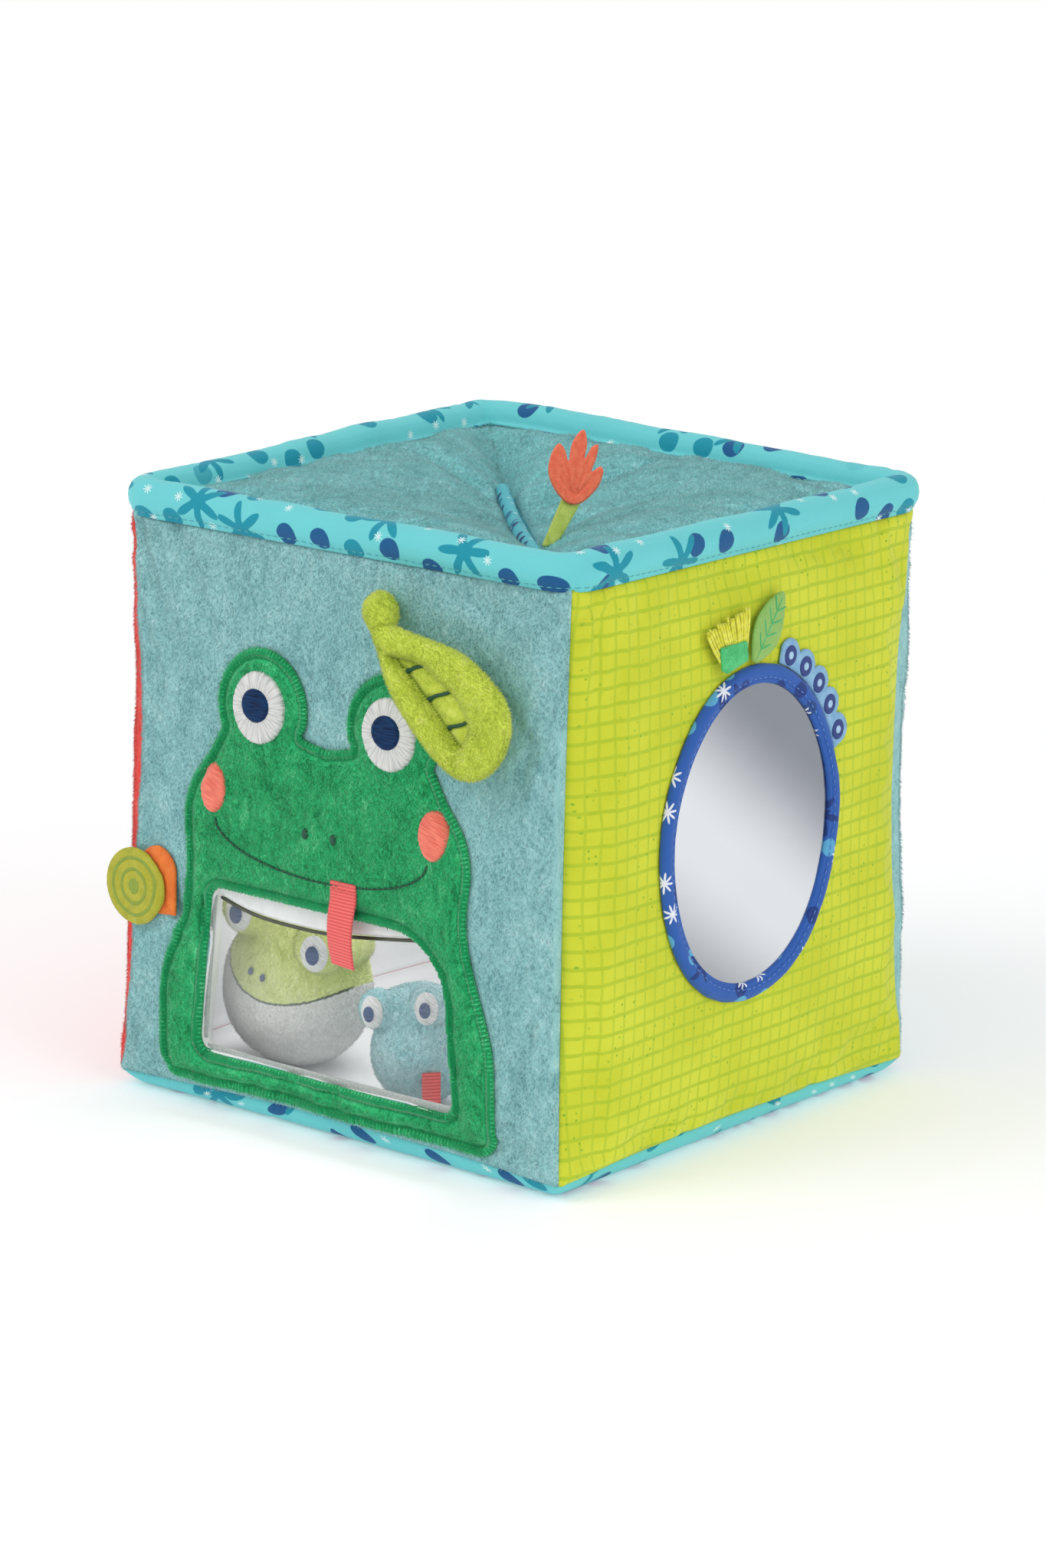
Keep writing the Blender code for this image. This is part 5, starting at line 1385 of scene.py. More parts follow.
# Near the roll's inner edge the sunken middle goes darker still: painted shade under the roll.
shade_by_well_edge = spot.node("Attribute", attribute_name="well_distance", output=2)
(shade_by_well_edge.step(-0.0022, -0.0002) * 0.75).among(plain, ink(44, 92, 30)).feed(shader, "Base Color")
bm = cloth(leaf_outline, 0.0007)
near = bm.verts.layers.float["edge_distance"]
inner_edge = bm.verts.layers.float.new("well_distance")
flat_spots = wall_spots(bm.verts)
well_distances, _ = from_edge(flat_spots, [well_outline])
for vert, away, sunk in zip(bm.verts, well_distances, within(flat_spots, well_outline)):
    vert[inner_edge] = -away if sunk else away
front, behind = thicken(bm)
for verts, way in ((front, 1), (behind, -1)):
    for vert in verts:
        x, z, d, inner = vert.co.x, vert.co.z, vert[near], vert[inner_edge]
        wide = d + max(inner, 0)
        share = d / wide if wide > 0 else 0
        half = min(LEAF_RIM / 2 * 1.08, wide * 0.46)
        pinch = 1 + 0.09 * noise.noise(Vector((x, z, 0)) * 90) + 0.05 * noise.noise(Vector((x, z, 1)) * 240)
        roll = half * math.sqrt(max(0, 1 - (2 * share - 1) ** 2)) * pinch
        if way > 0:
            floor_height = -0.0010 + 0.0011 * min(1, max(-inner, 0) / 0.0035)
            for a, b in vein_ends:
                floor_height -= crease(x, z, a, b, 0.0010, 0.0007) + crease(x, z, b, a, 0.0010, 0.0003)
            thick = max(roll, floor_height) if inner > 0 else floor_height
        else:
            thick = max(roll, 0.0030 * min(1, d / 0.003))
        vert.co.y = -(leaf_out + way * thick)
bmesh.ops.remove_doubles(bm, verts=bm.verts[:], dist=0.00012)
for _ in range(2):
    ease(bm, bm.verts[:])
outward(bm)
leaf_faces = BVHTree.FromBMesh(bm)
inner_edge = bm.verts.layers.float["well_distance"]
for face in bm.faces:
    face.material_index = int(face.normal.y < 0 and max(vert[inner_edge] for vert in face.verts) < 0)
leaf = piece("leaf", bm, [leaf_plush, shaded_quilted_plush], "leaf", "leaf_plush", ["leaf_flap"], FRONT)
LEAF_PILE = 6500000
nap("leaf_nap", leaf, LEAF_PILE, PILE_LENGTH, "leaf", "leaf_plush",
    lambda face: face.normal.y < 0.5 and face.material_index == 0, (0.3, 0, -0.3))
for n, (a, b) in enumerate(vein_ends):
    line = []
    for k in range(11):
        x, z = Vector(a).lerp(Vector(b), k / 10)
        x += 0.0004 * math.sin(k * 0.9 + n)
        hit = first_hit(leaf_faces, x, z)
        line.append(Vector((x, (hit.y if hit else -leaf_out) - 0.0003, z)))
    bm = run_tube(line, lambda s: 0.00058 + 0.00045 * max(0, 1 - 4 * s))
    piece(f"leaf_vein_{n + 1}", bm, [dark_thread], "leaf", "leaf_plush", (), FRONT)

stalk_shares = ((0.02, 0.0, 1.0), (0.3, 0.02, 0.85), (0.6, 0.0, 0.45), (0.85, 0.08, 0.1), (1.0, 0.2, 0.0))
stalk_points = []
for along, across, height in smooth_run(stalk_shares, 5):
    thickness = STALK_NECK + (STALK_KNOB - STALK_NECK) * math.sin(math.pi * along * 0.75) ** 2
    x, z = leaf_place(-along * STALK_LENGTH, -across * STALK_LENGTH)
    seat = wall_out(x, z) + GAP + thickness / 2
    stalk_points.append(Vector((x, -seat - (leaf_out - seat) * height, z)))
stalk_points.append(stalk_points[-1] * 2 - stalk_points[-4])


def stalk_radius(s):
    """Half the stalk's thickness: a full neck that swells to the knob."""
    neck = STALK_NECK * 1.25
    return (neck + (STALK_KNOB - neck) * math.sin(math.pi * min(s, 0.98) * 0.74) ** 2) / 2


bm = run_tube(stalk_points, stalk_radius, 20)
for vert in bm.verts:
    vert.co += vert.normal * 0.00035 * noise.noise(vert.co * 320)
stalk = piece("leaf_stem", bm, [leaf_plush], "box", "leaf_plush", ["leaf_stalk"], FRONT)
STALK_PILE = 8000000
nap("stem_nap", stalk, STALK_PILE, PILE_LENGTH, "box", "leaf_plush", lambda face: face.normal.y < 0.5,
    (0, 0, 0.2))

# Mirror: silvered soft film over a white backing on the right wall, its edge held
# by a ring of bias tape in a blue print, turned under and stitched round inside.
MIRROR_PLACE = -0.0050
MIRROR_HEIGHT = 0.0990
MIRROR_WIDTH = 0.0820
MIRROR_LENGTH = 0.0960
RING_WIDTH = 0.0062
RING_COVERS = 0.0020
mirror_centre = (MIRROR_PLACE, MIRROR_HEIGHT)
silver, shader, spot = finish("silvered_film", Metallic=1.0, Roughness=0.16)
# The silver's colour is a painted reflection: pale in a soft diagonal band across the mirror, darker away
# from it.
painted_reflection_slant = ((spot.part(2) - 0.086) * 0.86 + (spot.part(1) + 0.004) * 0.62
         + (spot.speckle(0.05, 1.0) - 0.5) * 0.006)
band = 1 - painted_reflection_slant.sum("ABSOLUTE").step(0.004, 0.052)
band.among(ink(138, 142, 150), ink(222, 225, 229)).feed(shader, "Base Color")
(spot.speckle(0.03, 1.0) * 0.10 + 0.10).feed(shader, "Roughness")
spot.speckle(0.035, 1.0).emboss(shader, 0.003, 0.35)
film_size = (MIRROR_WIDTH + 2 * RING_COVERS, MIRROR_LENGTH + 2 * RING_COVERS)
bm = lay(cloth(oval(mirror_centre, *film_size, 90), 0.0012), lambda x, z: on_wall(x, z, RIGHT), GAP,
         lambda d, x, z: 0.0011)
piece("mirror_sheet", bm, [silver], "box", "mirror_film", ["mirror_film", "mirror_backing"], RIGHT)

blue_print = printed_cotton("blue_print_cotton", ink(44, 92, 172), ink(30, 60, 130), ink(92, 170, 214),
                            0.0112, ink(232, 236, 248), 2.6, 0.72)
ring_middle = oval(mirror_centre, MIRROR_WIDTH + RING_WIDTH, MIRROR_LENGTH + RING_WIDTH, 160)
ring_run, ring_length = loop_run(ring_middle)
# The section of the ring, outwards along the wall and up from it in millimetres
ring_section = [(-3.1, 0.5), (-3.1, 1.5), (-2.6, 2.2), (-1.9, 2.25), (-1.5, 2.1), (-0.8, 2.7), (0.6, 2.9),
                (2.0, 2.5), (2.9, 1.6), (3.2, 0.7), (3.1, 0.3), (0.0, 0.3)]
ring_round, ring_girth = loop_run([(x / 1000, z / 1000) for x, z in ring_section])


def ring_spot(s, a, lift=0.0):
    place, way = ring_run(s)
    section, _ = ring_round(a)
    pucker = noise.noise(Vector((place.x * 160, place.y * 160, section.x * 300)))
    wave = noise.noise(Vector((place.x * 45, place.y * 45, 9)))
    still = 1 if section.x > -0.0012 else 0.35
    x, z = place + way * (section.x + (0.00030 * wave + 0.00022 * pucker) * still)
    rise = section.y * (1 + 0.06 * wave) + 0.00016 * pucker
    return Vector((x, -(on_wall(x, z, RIGHT) + max(rise, 0.0003) + lift), z))


bm = sleeve(300, 26, ring_spot, ring_length, ring_girth)
ring = piece("mirror_binding", bm, [blue_print], "box", "blue_print_cotton", ["mirror_ring"], RIGHT)
blue_thread = dyed("blue_thread", ink(70, 116, 200), ink(120, 160, 226), 0.0006, 1.0, Roughness=0.55)
bm = stitches([ring_spot(n / 700, 0.235, 0.0001) for n in range(701)], 0.0020, 0.0004)
piece("mirror_stitches", bm, [blue_thread], "box", "blue_print_cotton", (), RIGHT)

# Tags round the top of the mirror, sewn under its ring: a light-blue scalloped
# band printed with plain discs, a green organza leaf, and a lime fringe on ribbon.
TAG = 0.0009
TAG_CLEAR = 0.0005
ring_size = (MIRROR_WIDTH + 2 * RING_WIDTH, MIRROR_LENGTH + 2 * RING_WIDTH)


def on_ring(angle, extra):
    """Place on the right wall of a point just off the ring, its angle from the top."""
    a = math.radians(angle)
    return (MIRROR_PLACE + (ring_size[0] / 2 + extra) * math.sin(a),
            MIRROR_HEIGHT + (ring_size[1] / 2 + extra) * math.cos(a))


def turned(points, root, degrees):
    """Points given along and across a direction from a root, the angle from the horizontal."""
    a = math.radians(degrees)
    return [(root[0] + x * math.cos(a) - y * math.sin(a), root[1] + x * math.sin(a) + y * math.cos(a))
            for x, y in points]


def clear_of_wall(outline, turn):
    """Distance from the middle of the box that clears a wall behind an outline."""
    return max(wall_out(x, z, turn) for x, z in outline) + TAG_CLEAR


def tag_cloth(name, dark, pale, size=0.0035):
    """Smooth woven tag cloth with a faint grain and a slightly uneven dye."""
    material, shader, spot = finish(name, Roughness=0.55, Sheen_Weight=0.15, Specular_IOR_Level=0.35)
    dye = spot.speckle(size, 3.0) * 0.6 + spot.speckle(0.0005) * 0.4
    dye.step(0.3, 0.7).among(dark, pale).feed(shader, "Base Color")
    spot.speckle(0.0005).emboss(shader, 0.00025, 0.7)
    return material


def tag_face(d, x, z):
    """A tag is a folded strip: its edge is rounded and a seam runs just inside it."""
    return TAG * (0.45 + 0.55 * shoulder(d, 0.0005)) - 0.00012 * math.exp(-((d - 0.0010) / 0.00025) ** 2)


def tag_level(out, turn, clear=TAG_CLEAR):
    """Distance from the middle of the box where a tag lies: as cut, or clear of the wall where it swells."""
    return lambda x, z: max(out, on_wall(x, z, turn) + clear)


def flat_tag(name, outline, out, finishes, body, slot, nodes, turn, pitch=0.0005):
    """Flat cloth tag that stands at a distance out from the middle of the box, clear of the soft wall."""
    clear = TAG_CLEAR + max(0, out - clear_of_wall(outline, turn))
    bm = lay(cloth(outline, pitch), tag_level(out, turn, clear), 0, tag_face)
    return piece(name, bm, finishes, body, slot, nodes, turn)


SCALLOP_STEP = 10.5
SCALLOP_RADIUS = 0.0055
scallop_angles = [22.0 + SCALLOP_STEP * n for n in range(5)]
scallop_marks = (scallop_angles[0] - SCALLOP_STEP / 2, *scallop_angles, scallop_angles[-1] + SCALLOP_STEP / 2)
scallop_outline = [on_ring(a, TAG_CLEAR) for a in scallop_marks]
scallop_centres = [on_ring(a, TAG_CLEAR + 0.0064 - SCALLOP_RADIUS / 2) for a in scallop_angles]
for angle, centre in reversed(list(zip(scallop_angles, scallop_centres))):
    scallop_outline += arc(centre, SCALLOP_RADIUS, 90 - angle - 70, 90 - angle + 70, 12)
scallop_out = clear_of_wall(scallop_outline, RIGHT)
scallop_level = tag_level(scallop_out, RIGHT)
pale_blue_cloth = tag_cloth("blue_tag_cloth", ink(112, 164, 206), ink(146, 192, 224))
navy_ink = dyed("navy_print", ink(28, 48, 112), ink(40, 66, 136), 0.002, Roughness=0.6)
pale_ink = dyed("pale_print", ink(150, 190, 226), ink(186, 216, 240), 0.002, Roughness=0.6)
scallop = flat_tag("scalloped_tag", scallop_outline, scallop_out, [pale_blue_cloth], "box", "blue_tag_cloth",
                   ["scallop_tag"], RIGHT)
for n, centre in enumerate(scallop_centres):
    patch(f"scallop_disc_{n + 1}", oval(centre, 0.0066, 0.0066, 40), 0.0004,
          lambda x, z: scallop_level(x, z) + TAG, -0.0001, 0.0002, 0.0005, navy_ink,
          "box", "navy_embroidery", (), RIGHT)
    patch(f"scallop_dot_{n + 1}", oval(centre, 0.0026, 0.0026, 24), 0.0003,
          lambda x, z: scallop_level(x, z) + TAG + 0.0002, -0.0001, 0.0002, 0.0004, pale_ink,
          "box", "blue_tag_cloth", (), RIGHT)

leaf_tag_root = (-0.0072, on_ring(0, TAG_CLEAR + 0.0012)[1])
leaf_tag_shares = ((0, 0.10), (0, -0.10), (0.25, -0.42), (0.5, -0.5), (0.78, -0.33), (1, 0),
                   (0.78, 0.33), (0.5, 0.5), (0.25, 0.42), (0, 0.10))
leaf_tag_points = smooth_run([(a * 0.025, b * 0.0142) for a, b in leaf_tag_shares[1:]], 6)
leaf_tag_out = scallop_out + 0.0012 + TAG_CLEAR
leaf_level = tag_level(leaf_tag_out, RIGHT, TAG_CLEAR + 0.0017)
organza, shader, spot = finish("green_organza", Roughness=0.4, Sheen_Weight=0.3, Specular_IOR_Level=0.4)
spot.speckle(0.004).among(ink(130, 188, 84), ink(160, 210, 106)).feed(shader, "Base Color")
(spot.speckle(0.0007) * 0.25 + 0.68).feed(shader, "Alpha")
spot.speckle(0.0004).emboss(shader, 0.0002, 0.6)
LEAF_TAG_TURN = 52.0
bm = lay(cloth(turned(leaf_tag_points, leaf_tag_root, LEAF_TAG_TURN), 0.0005), leaf_level, 0, tag_face)
organza_leaf = piece("organza_leaf", bm, [organza], "mirror_leaf", "green_tag_cloth", ["leaf_tag"], RIGHT)
vein_green = dyed("green_vein_print", ink(46, 170, 100), ink(70, 190, 122), 0.002, Roughness=0.5)
bm = bmesh.new()
leaf_lines = [[(0.0005, 0), (0.0235, 0)]]
for n in range(4):
    foot = 0.0045 + n * 0.0045
    leaf_lines += [[(foot, 0), (foot + 0.0040, way * (0.0046 - 0.0005 * abs(n - 1.5)))] for way in (-1, 1)]
straight_out = Vector((0, -1, 0))
for line in leaf_lines:
    a, b = (Vector((x, -(leaf_level(x, z) + TAG + 0.00005), z))
            for x, z in turned(line, leaf_tag_root, LEAF_TAG_TURN))
    across = straight_out.cross((b - a).normalized()) * 0.0006
    bead(bm, (a + b) / 2, b - a, across, straight_out * 0.0003, 2)
piece("organza_leaf_veins", bm, [vein_green], "mirror_leaf", "green_tag_cloth", (), RIGHT)

FRINGE_TURN = 103.0
FRINGE_WIDTH = 0.0115
fringe_root = (-0.0175, leaf_tag_root[1])
fringe_ribbon_outline = turned([(0, -FRINGE_WIDTH / 2), (0.007, -FRINGE_WIDTH / 2), (0.007, FRINGE_WIDTH / 2),
                                (0, FRINGE_WIDTH / 2)], fringe_root, FRINGE_TURN)
fringe_out = clear_of_wall(fringe_ribbon_outline, RIGHT)
ribbon_green = tag_cloth("green_tag_cloth", ink(44, 172, 92), ink(86, 208, 132))
band_outline = turned([(0, -0.0056), (0.0064, -0.0064), (0.0092, 0.0070), (0.0020, 0.0078), (0, 0.0056)],
                      fringe_root, FRINGE_TURN)
bm = lay(cloth(rounded(band_outline, (0.0006,) * 5, 3), 0.0005),
         tag_level(fringe_out + 0.0026, RIGHT, TAG_CLEAR + 0.0029), 0, tag_face)
green_band = piece("fringe_band", bm, [ribbon_green], "fringe", "green_tag_cloth", ["fringe_ribbon"], RIGHT)
lime_yarn, shader, spot = finish("lime_yarn", Roughness=0.7, Sheen_Weight=0.3)
spot.speckle(0.0040).step(0.3, 0.7).among(ink(226, 224, 44), ink(246, 242, 96)).feed(shader, "Base Color")
spot.speckle(0.0004).emboss(shader, 0.0001, 0.4)
bm = bmesh.new()
YARNS = 17
for row in range(2):
    for n in range(YARNS):
        share = (n + 0.25 + 0.5 * row) / YARNS - 0.5
        tall = 0.0142 * (0.94 + 0.14 * noise.noise(Vector((n * 1.7, row, 5))))
        points = []
        for k in range(7):
            t = k / 6
            stray = 0.0007 * t * noise.noise(Vector((n * 0.9, row * 3, t * 2)))
            across = share * (FRINGE_WIDTH + 0.0113 * t ** 0.8) + stray
            (x, z), = turned([(0.0018 + t * tall, across)], fringe_root, FRINGE_TURN)
            level = tag_level(fringe_out + 0.0012 + GAP, RIGHT, TAG_CLEAR + 0.0015)(x, z)
            points.append(Vector((x, -(level + 0.0004 + row * 0.0006), z)))
        for a, b in zip(points, points[1:]):
            strand(bm, (a + b) / 2, b - a, (b - a).length * 1.15, 0.00052, 0.00048, 6)
piece("lime_fringe", bm, [lime_yarn], "fringe", "yellow_tag_cloth", ["fringe_tag"], RIGHT)

# Tag in the left edge of the applique: a round lime disc over an orange tab, both
# of folded tag cloth, sewn in by their right ends.
DISC_ROOT = 0.0640
DISC_REACH = 0.0165
DISC_HEIGHT = 0.0680
tab_corners = ((-DISC_ROOT - DISC_REACH, DISC_HEIGHT - 0.0075), (-DISC_ROOT, DISC_HEIGHT - 0.0075),
               (-DISC_ROOT, DISC_HEIGHT + 0.015), (-DISC_ROOT - DISC_REACH, DISC_HEIGHT + 0.015))
disc_out = clear_of_wall(tab_corners, FRONT)
orange_cloth = tag_cloth("orange_tag_cloth", ink(222, 100, 26), ink(240, 130, 44))
tab = flat_tag("orange_tab", rounded(tab_corners, (0.005, 0.0006, 0.0075, 0.010)), disc_out, [orange_cloth],
               "side_tag", "orange_tag_cloth", ["disc_tag_back"], FRONT)
lime_cloth = tag_cloth("lime_tag_cloth", ink(160, 161, 32), ink(186, 183, 50))
disc_centre = (-DISC_ROOT - DISC_REACH, DISC_HEIGHT)
disc_face = disc_out + 0.0012 + GAP
disc_level = tag_level(disc_face, FRONT, TAG_CLEAR + 0.0015)
bm = lay(cloth(oval(disc_centre, 0.0255, 0.0255, 72), 0.0005), disc_level, 0, tag_face)
disc = piece("lime_disc", bm, [lime_cloth], "side_tag", "lime_tag_cloth", ["disc_tag"], FRONT)
moss_ink = dyed("moss_print", ink(120, 146, 44), ink(150, 168, 62), 0.002, Roughness=0.6)
for n, (wide, line) in enumerate(((0.0200, 0.0012), (0.0125, 0.0012), (0.0052, 0.0026))):
    hole = [oval(disc_centre, wide - 2 * line, wide - 2 * line, 48)] if wide > 2 * line else []
    patch(f"disc_ring_{n + 1}", oval(disc_centre, wide, wide, 64), 0.0004,
          lambda x, z: disc_level(x, z) + TAG, -0.0002, 0.00016, 0.0003, moss_ink,
          "side_tag", "green_tag_cloth", holes=hole)

# Crest tag on the right lip of the slit: a stem of folded lime cloth, and over it
# a lobed crest of coral felt with pressed lines that fan out from its foot.
CREST_ALONG = 0.0370
CREST_BEND = 0.0080
CREST_STEM_LENGTH = 0.0170
CREST_STEM_WIDTH = 0.0070
CREST_LENGTH = 0.0235
CREST_WIDTH = 0.0172
crest_side = lip(CREST_ALONG, SLIT_CLOSED) + SLIT_BINDING / 2 + 0.0006
crest_foot = top_rise(CREST_ALONG, crest_side) + (SLIT_BINDING - TOP_COVER - TOP_LINING) / 2 - 0.0016
crest_frame = (DIAGONAL @ Matrix.Translation((CREST_ALONG, crest_side, crest_foot + GAP))
               @ Matrix.Rotation(math.radians(85), 4, "Z") @ Matrix.Rotation(math.radians(-12), 4, "X"))


def crest_form(name, outline, lift, finishes, nodes, pitch=0.0005, face=tag_face, slot="coral_tag_cloth"):
    """Flat tag that is made upright at the origin and then set on its root on the slit's lip."""
    bm = lay(cloth(outline, pitch), lambda x, z: lift, 0, face)
    bmesh.ops.transform(bm, matrix=crest_frame, verts=bm.verts[:])
    return piece(name, bm, finishes, "crest", slot, nodes, FRONT)


stem_green = tag_cloth("lime_stem_cloth", ink(172, 190, 72), ink(208, 220, 112))
stem_foot = 0.00025
stem_outline = [(-CREST_STEM_WIDTH / 3, stem_foot), (CREST_STEM_WIDTH / 3, stem_foot),
                (CREST_BEND + CREST_STEM_WIDTH / 2, CREST_STEM_LENGTH),
                (CREST_BEND - CREST_STEM_WIDTH / 2, CREST_STEM_LENGTH)]
stem = crest_form("crest_stem_cloth", rounded(stem_outline, (0.0005, 0.0005, 0.0016, 0.0016), 4), -0.0006,
                  [stem_green], ["crest_stem"], slot="lime_tag_cloth")
coral_felt = tag_cloth("coral_tag_cloth", ink(240, 98, 66), ink(255, 128, 92), 0.0016)
crest_shares = ((0.0, 0.0), (0.18, 0.05), (0.42, 0.24), (0.52, 0.44), (0.46, 0.52), (0.30, 0.45),
                (0.38, 0.62), (0.42, 0.80), (0.30, 0.78), (0.17, 0.62), (0.21, 0.82), (0.16, 1.0),
                (0.04, 0.96), (-0.08, 0.80), (-0.13, 0.58), (-0.20, 0.74), (-0.32, 0.82), (-0.46, 0.66),
                (-0.50, 0.42), (-0.36, 0.18), (-0.16, 0.03), (0.0, 0.0))


def crest_place(x, z):
    """Place on the upright crest of a share of its width and of its length."""
    return CREST_BEND + x * CREST_WIDTH, CREST_STEM_LENGTH - CREST_STEM_WIDTH / 2 + z * CREST_LENGTH


crest_outline = [crest_place(x, z) for x, z in smooth_run(crest_shares, 5)[:-1]]
line_shares = ((0.12, 0.96), (0.05, 0.90), (-0.04, 0.78), (0.34, 0.76), (0.26, 0.66), (0.40, 0.46),
               (0.34, 0.36), (-0.28, 0.76), (-0.36, 0.62), (-0.38, 0.44))
crest_lines = [(crest_place(0.0, 0.10), crest_place(*tip)) for tip in line_shares]


def crest_face(d, x, z):
    """Felt with pressed lines that fan out from the crest's foot."""
    pressed = max(crease(x, z, a, b, 0.00030, 0.00055) for a, b in crest_lines)
    return max(0.0003, TAG * (0.5 + 0.7 * shoulder(d, 0.0006)) - min(pressed, 0.0006))


crest = crest_form("coral_crest", crest_outline, 0.0009, [coral_felt], ["crest_tag"], 0.0003, crest_face)

# Round patch of green plush on the back wall, edged like the head on the front.
patch_outline = oval((-0.0240, 0.0950), 0.1080, 0.1080, 120)
bm = lay(cloth(patch_outline, 0.0014), lambda x, z: on_wall(x, z, BACK), GAP, head_height)
back_patch = piece("round_patch", bm, [green_plush], "box", "green_plush", ["back_patch"], BACK)
bm = bmesh.new()
tufts(bm, patch_outline[::-1], 0.0016, 0.0012, 0.0008, lambda x, z: on_wall(x, z, BACK) + APPLIQUE * 0.35)
piece("round_patch_pile", bm, [green_plush], "box", "green_plush", (), BACK)

# Two loose stuffed toys in the box: a pale-green one with a white belly below its
# smile, and a small light-blue one with a ribbon. Eyes and nostrils are embroidered.
TOY_TAPER = 0.15
SMILE_RADIUS = 0.0340
SMILE_DROP = 0.0010
TOY_PILE = 3200000


def toy_place(x, front_gap, size, tilt, turn):
    """Middle of a toy that stands on the base behind the front wall, and how it leans."""
    y = front_gap + size[1] / 2 + WALL_DEPTH - wall_out(x, size[2] / 2)
    floor_of = base_point(2 * x / BASE_WIDTH, 2 * y / BASE_WIDTH, SEAM_DEPTH, WALL_DEPTH).z
    roll = Matrix.Rotation(math.radians(turn), 4, "Z") @ Matrix.Rotation(math.radians(tilt), 4, "Y")
    return Vector((x, y, floor_of + GAP + size[2] / 2)), roll


def stuffed_toy(name, middle, roll, size, dome, spread, finishes, body, slot, nodes):
    """Body that widens downwards with two eye domes, sewn in one: the balls are joined and smoothed."""
    bm = bmesh.new()
    made = bmesh.ops.create_uvsphere(bm, u_segments=48, v_segments=32, radius=0.5)
    for vert in made["verts"]:
        x, y, z = vert.co
        wide = 1 - TOY_TAPER * z
        vert.co = middle + Vector((x * size[0] * wide, y * size[1] * wide, z * size[2]))
    spots = []
    for side in (-1, 1):
        offset = Vector((side * spread / 2, (dome - size[1]) / 2, size[2] / 2 - dome / 4))
        spots.append(middle + roll @ offset)
        made = bmesh.ops.create_uvsphere(bm, u_segments=24, v_segments=16, radius=dome / 2)
        bmesh.ops.translate(bm, verts=made["verts"], vec=spots[-1])
    brow = middle + roll @ Vector((0, 0, size[2] / 2 - dome * 0.45))
    made = bmesh.ops.create_uvsphere(bm, u_segments=32, v_segments=20, radius=0.5)
    for vert in made["verts"]:
        x, y, z = vert.co
        vert.co = brow + roll @ Vector((x * (spread + dome * 0.85), y * size[1] * 0.84, z * dome * 1.15))
    balls = as_object("toy_balls", bm)
    bm.free()
    join = balls.modifiers.new("join", "REMESH")
    join.mode = "VOXEL"
    join.voxel_size = size[0] / 55
    softer = balls.modifiers.new("softer", "SMOOTH")
    softer.factor, softer.iterations = 0.5, 10
    bm = worked_out(balls)
    bm.normal_update()
    for vert in bm.verts:
        vert.co += vert.normal * (0.00045 * noise.noise(vert.co * 120) + 0.0002 * noise.noise(vert.co * 600))
    outward(bm)
    toy = piece(name, bm, finishes, body, slot, nodes, FRONT)
    nap(name + "_nap", toy, TOY_PILE, 0.0010, body, slot, lambda face: face.normal.y < 0.5)
    return spots


def dome_disc(name, middle, radius, aim, width, squash, lift, material, body, slot, nodes):
    """Embroidered disc that follows a round dome: a cap cut from a ball just over it."""
    bm = bmesh.new()
    bmesh.ops.create_uvsphere(bm, u_segments=40, v_segments=48, radius=radius + lift)
    depth = math.sqrt(max((radius + lift) ** 2 - (width / 2) ** 2, 0))
    bmesh.ops.bisect_plane(bm, geom=bm.verts[:] + bm.edges[:] + bm.faces[:], plane_co=(0, 0, depth),
                           plane_no=(0, 0, 1), clear_inner=True)
    bmesh.ops.scale(bm, vec=(squash, 1, 1), verts=bm.verts[:])
    bmesh.ops.solidify(bm, geom=bm.faces[:], thickness=0.0008)
    turn_of = aim.to_track_quat("Z", "Y").to_matrix().to_4x4()
    bmesh.ops.transform(bm, matrix=Matrix.Translation(middle) @ turn_of, verts=bm.verts[:])
    outward(bm)
    return piece(name, bm, [material], body, slot, nodes, FRONT)


toy_white = satin_stitch("white_embroidery_toy", ink(214, 216, 214), ink(242, 243, 242), lie=0.6)
toy_pupil = satin_stitch("grey_blue_embroidery", ink(64, 82, 116), ink(94, 112, 148))


def toy_eyes(toy, spots, roll, gaze, apart, radius, eye, pupil):
    """Embroidered eyes on a toy's domes, each with its pupil: a width, a squash and how far it lifts."""
    for side, hand, spot_of in zip((-1, 1), ("left", "right"), spots):
        aim = (roll @ Vector((gaze[0] + side * apart, gaze[1], gaze[2]))).normalized()
        dome_disc(f"{toy}_eye_{hand}", spot_of, radius, aim, *eye, toy_white, toy + "_toy",
                  "white_embroidery", [f"{toy}_toy_eye_{hand}"])
        dome_disc(f"{toy}_pupil_{hand}", spot_of, radius, aim, *pupil, toy_pupil, toy + "_toy",
                  "navy_embroidery", ())


green_size = (0.0520, 0.0460, 0.0545)
green_middle, green_roll = toy_place(-0.0450, 0.0055, green_size, 14.5, 2.0)
toy_plush = plush("pale_green_plush", ink(212, 228, 130), ink(238, 248, 170), ink(250, 254, 204),
                  (1, 1, 0.6), 0.008)
shader, spot, green_part = reopen(toy_plush)
smile_middle = settle(green_middle + green_roll @ Vector((0, 0, SMILE_RADIUS - SMILE_DROP)))
smile_axis = green_roll @ Vector((0, 1, 0))
from_smile = spot.shifted(tuple(-smile_middle))
along_axis = from_smile.node("VectorMath", {0: from_smile, 1: tuple(smile_axis)}, 1, operation="DOT_PRODUCT")
radial = (from_smile.length() ** 2 - along_axis * along_axis) ** 0.5
edge_of = radial + (spot.speckle(0.0012) - 0.5) * 0.0009
belly_tone = spot.speckle(0.0012, 3.0).step(0.3, 0.7).among(ink(242, 242, 238), ink(254, 254, 252))
bellied = edge_of.step(SMILE_RADIUS - 0.0002, SMILE_RADIUS + 0.0004).among(green_part, belly_tone)
smile_line = (1 - (edge_of - SMILE_RADIUS).sum("ABSOLUTE").step(0.0002, 0.00055)) * (
    1 - along_axis.step(-0.006, -0.002))
(smile_line * 0.85).among(bellied, ink(70, 88, 84)).feed(shader, "Base Color")
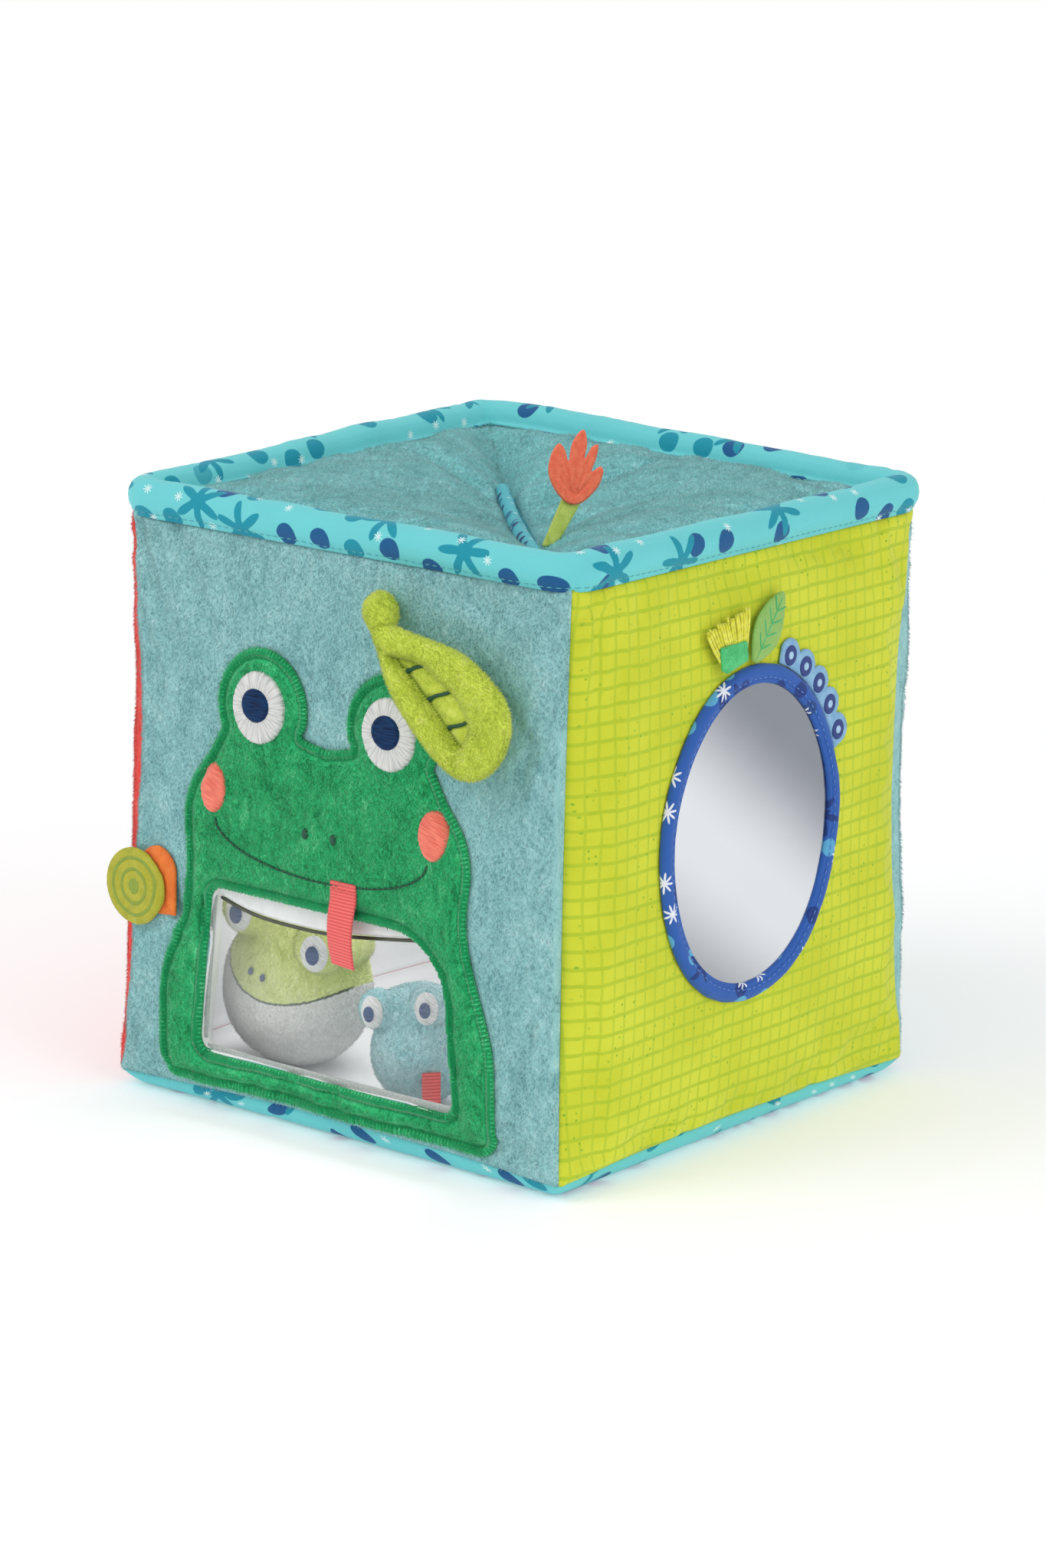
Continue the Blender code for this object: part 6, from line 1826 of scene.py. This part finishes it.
green_spots = stuffed_toy("pale_green_toy", green_middle, green_roll, green_size, 0.0180, 0.0310,
                          [toy_plush], "green_toy", "pale_green_plush", ["green_toy_head", "green_toy_belly"])
toy_eyes("green", green_spots, green_roll, (0.28, -1, 0.05), 0.10, 0.0090,
         (0.0124, 0.76, 0.0010), (0.0064, 0.72, 0.0016))
for side in (-1, 1):
    aim = (green_roll @ Vector((-0.06 + side * 0.12, -1, 0.30))).normalized()
    dome_disc(f"green_nostril_{side + 2}", green_middle, 0.0226, aim, 0.0028, 0.62, 0.0014, toy_pupil,
              "green_toy", "navy_embroidery", ())

blue_size = (0.0320, 0.0300, 0.0370)
blue_middle, blue_roll = toy_place(0.0130, 0.0065, blue_size, -10.0, 20.0)
pale_plush = plush("pale_blue_plush", ink(146, 204, 210), ink(186, 228, 232), ink(216, 242, 244),
                   (1, 1, 0.6), 0.008)
blue_spots = stuffed_toy("light_blue_toy", blue_middle, blue_roll, blue_size, 0.0130, 0.0175,
                         [pale_plush], "blue_toy", "light_blue_plush", ["blue_toy_head"])
toy_eyes("blue", blue_spots, blue_roll, (0, -1, 0), 0.12, 0.0065,
         (0.0108, 0.74, 0.0009), (0.0052, 0.72, 0.0015))

TOY_RIBBON_WIDTH = 0.006
TOY_RIBBON_LENGTH = 0.010
bm = bmesh.new()
bmesh.ops.create_grid(bm, x_segments=8, y_segments=40, size=0.5)
front, behind = thicken(bm)
mark_cut(bm, lambda spot: (spot.x * TOY_RIBBON_WIDTH, spot.y * TOY_RIBBON_LENGTH))
for verts, over in ((front, 0.0006), (behind, 0)):
    for vert in verts:
        down = 0.5 - vert.co.y
        vert.co = (vert.co.x * TOY_RIBBON_WIDTH, -(0.0163 + over + 0.0012 * down * down),
                   -0.004 - down * TOY_RIBBON_LENGTH)
outward(bm)
bmesh.ops.transform(bm, matrix=Matrix.Translation(blue_middle) @ Matrix.Rotation(math.radians(52.0), 4, "Z"),
                    verts=bm.verts[:])
piece("toy_tongue", bm, [coral_ribbon], "blue_toy", "coral_ribbon", ["blue_toy_ribbon"], FRONT)
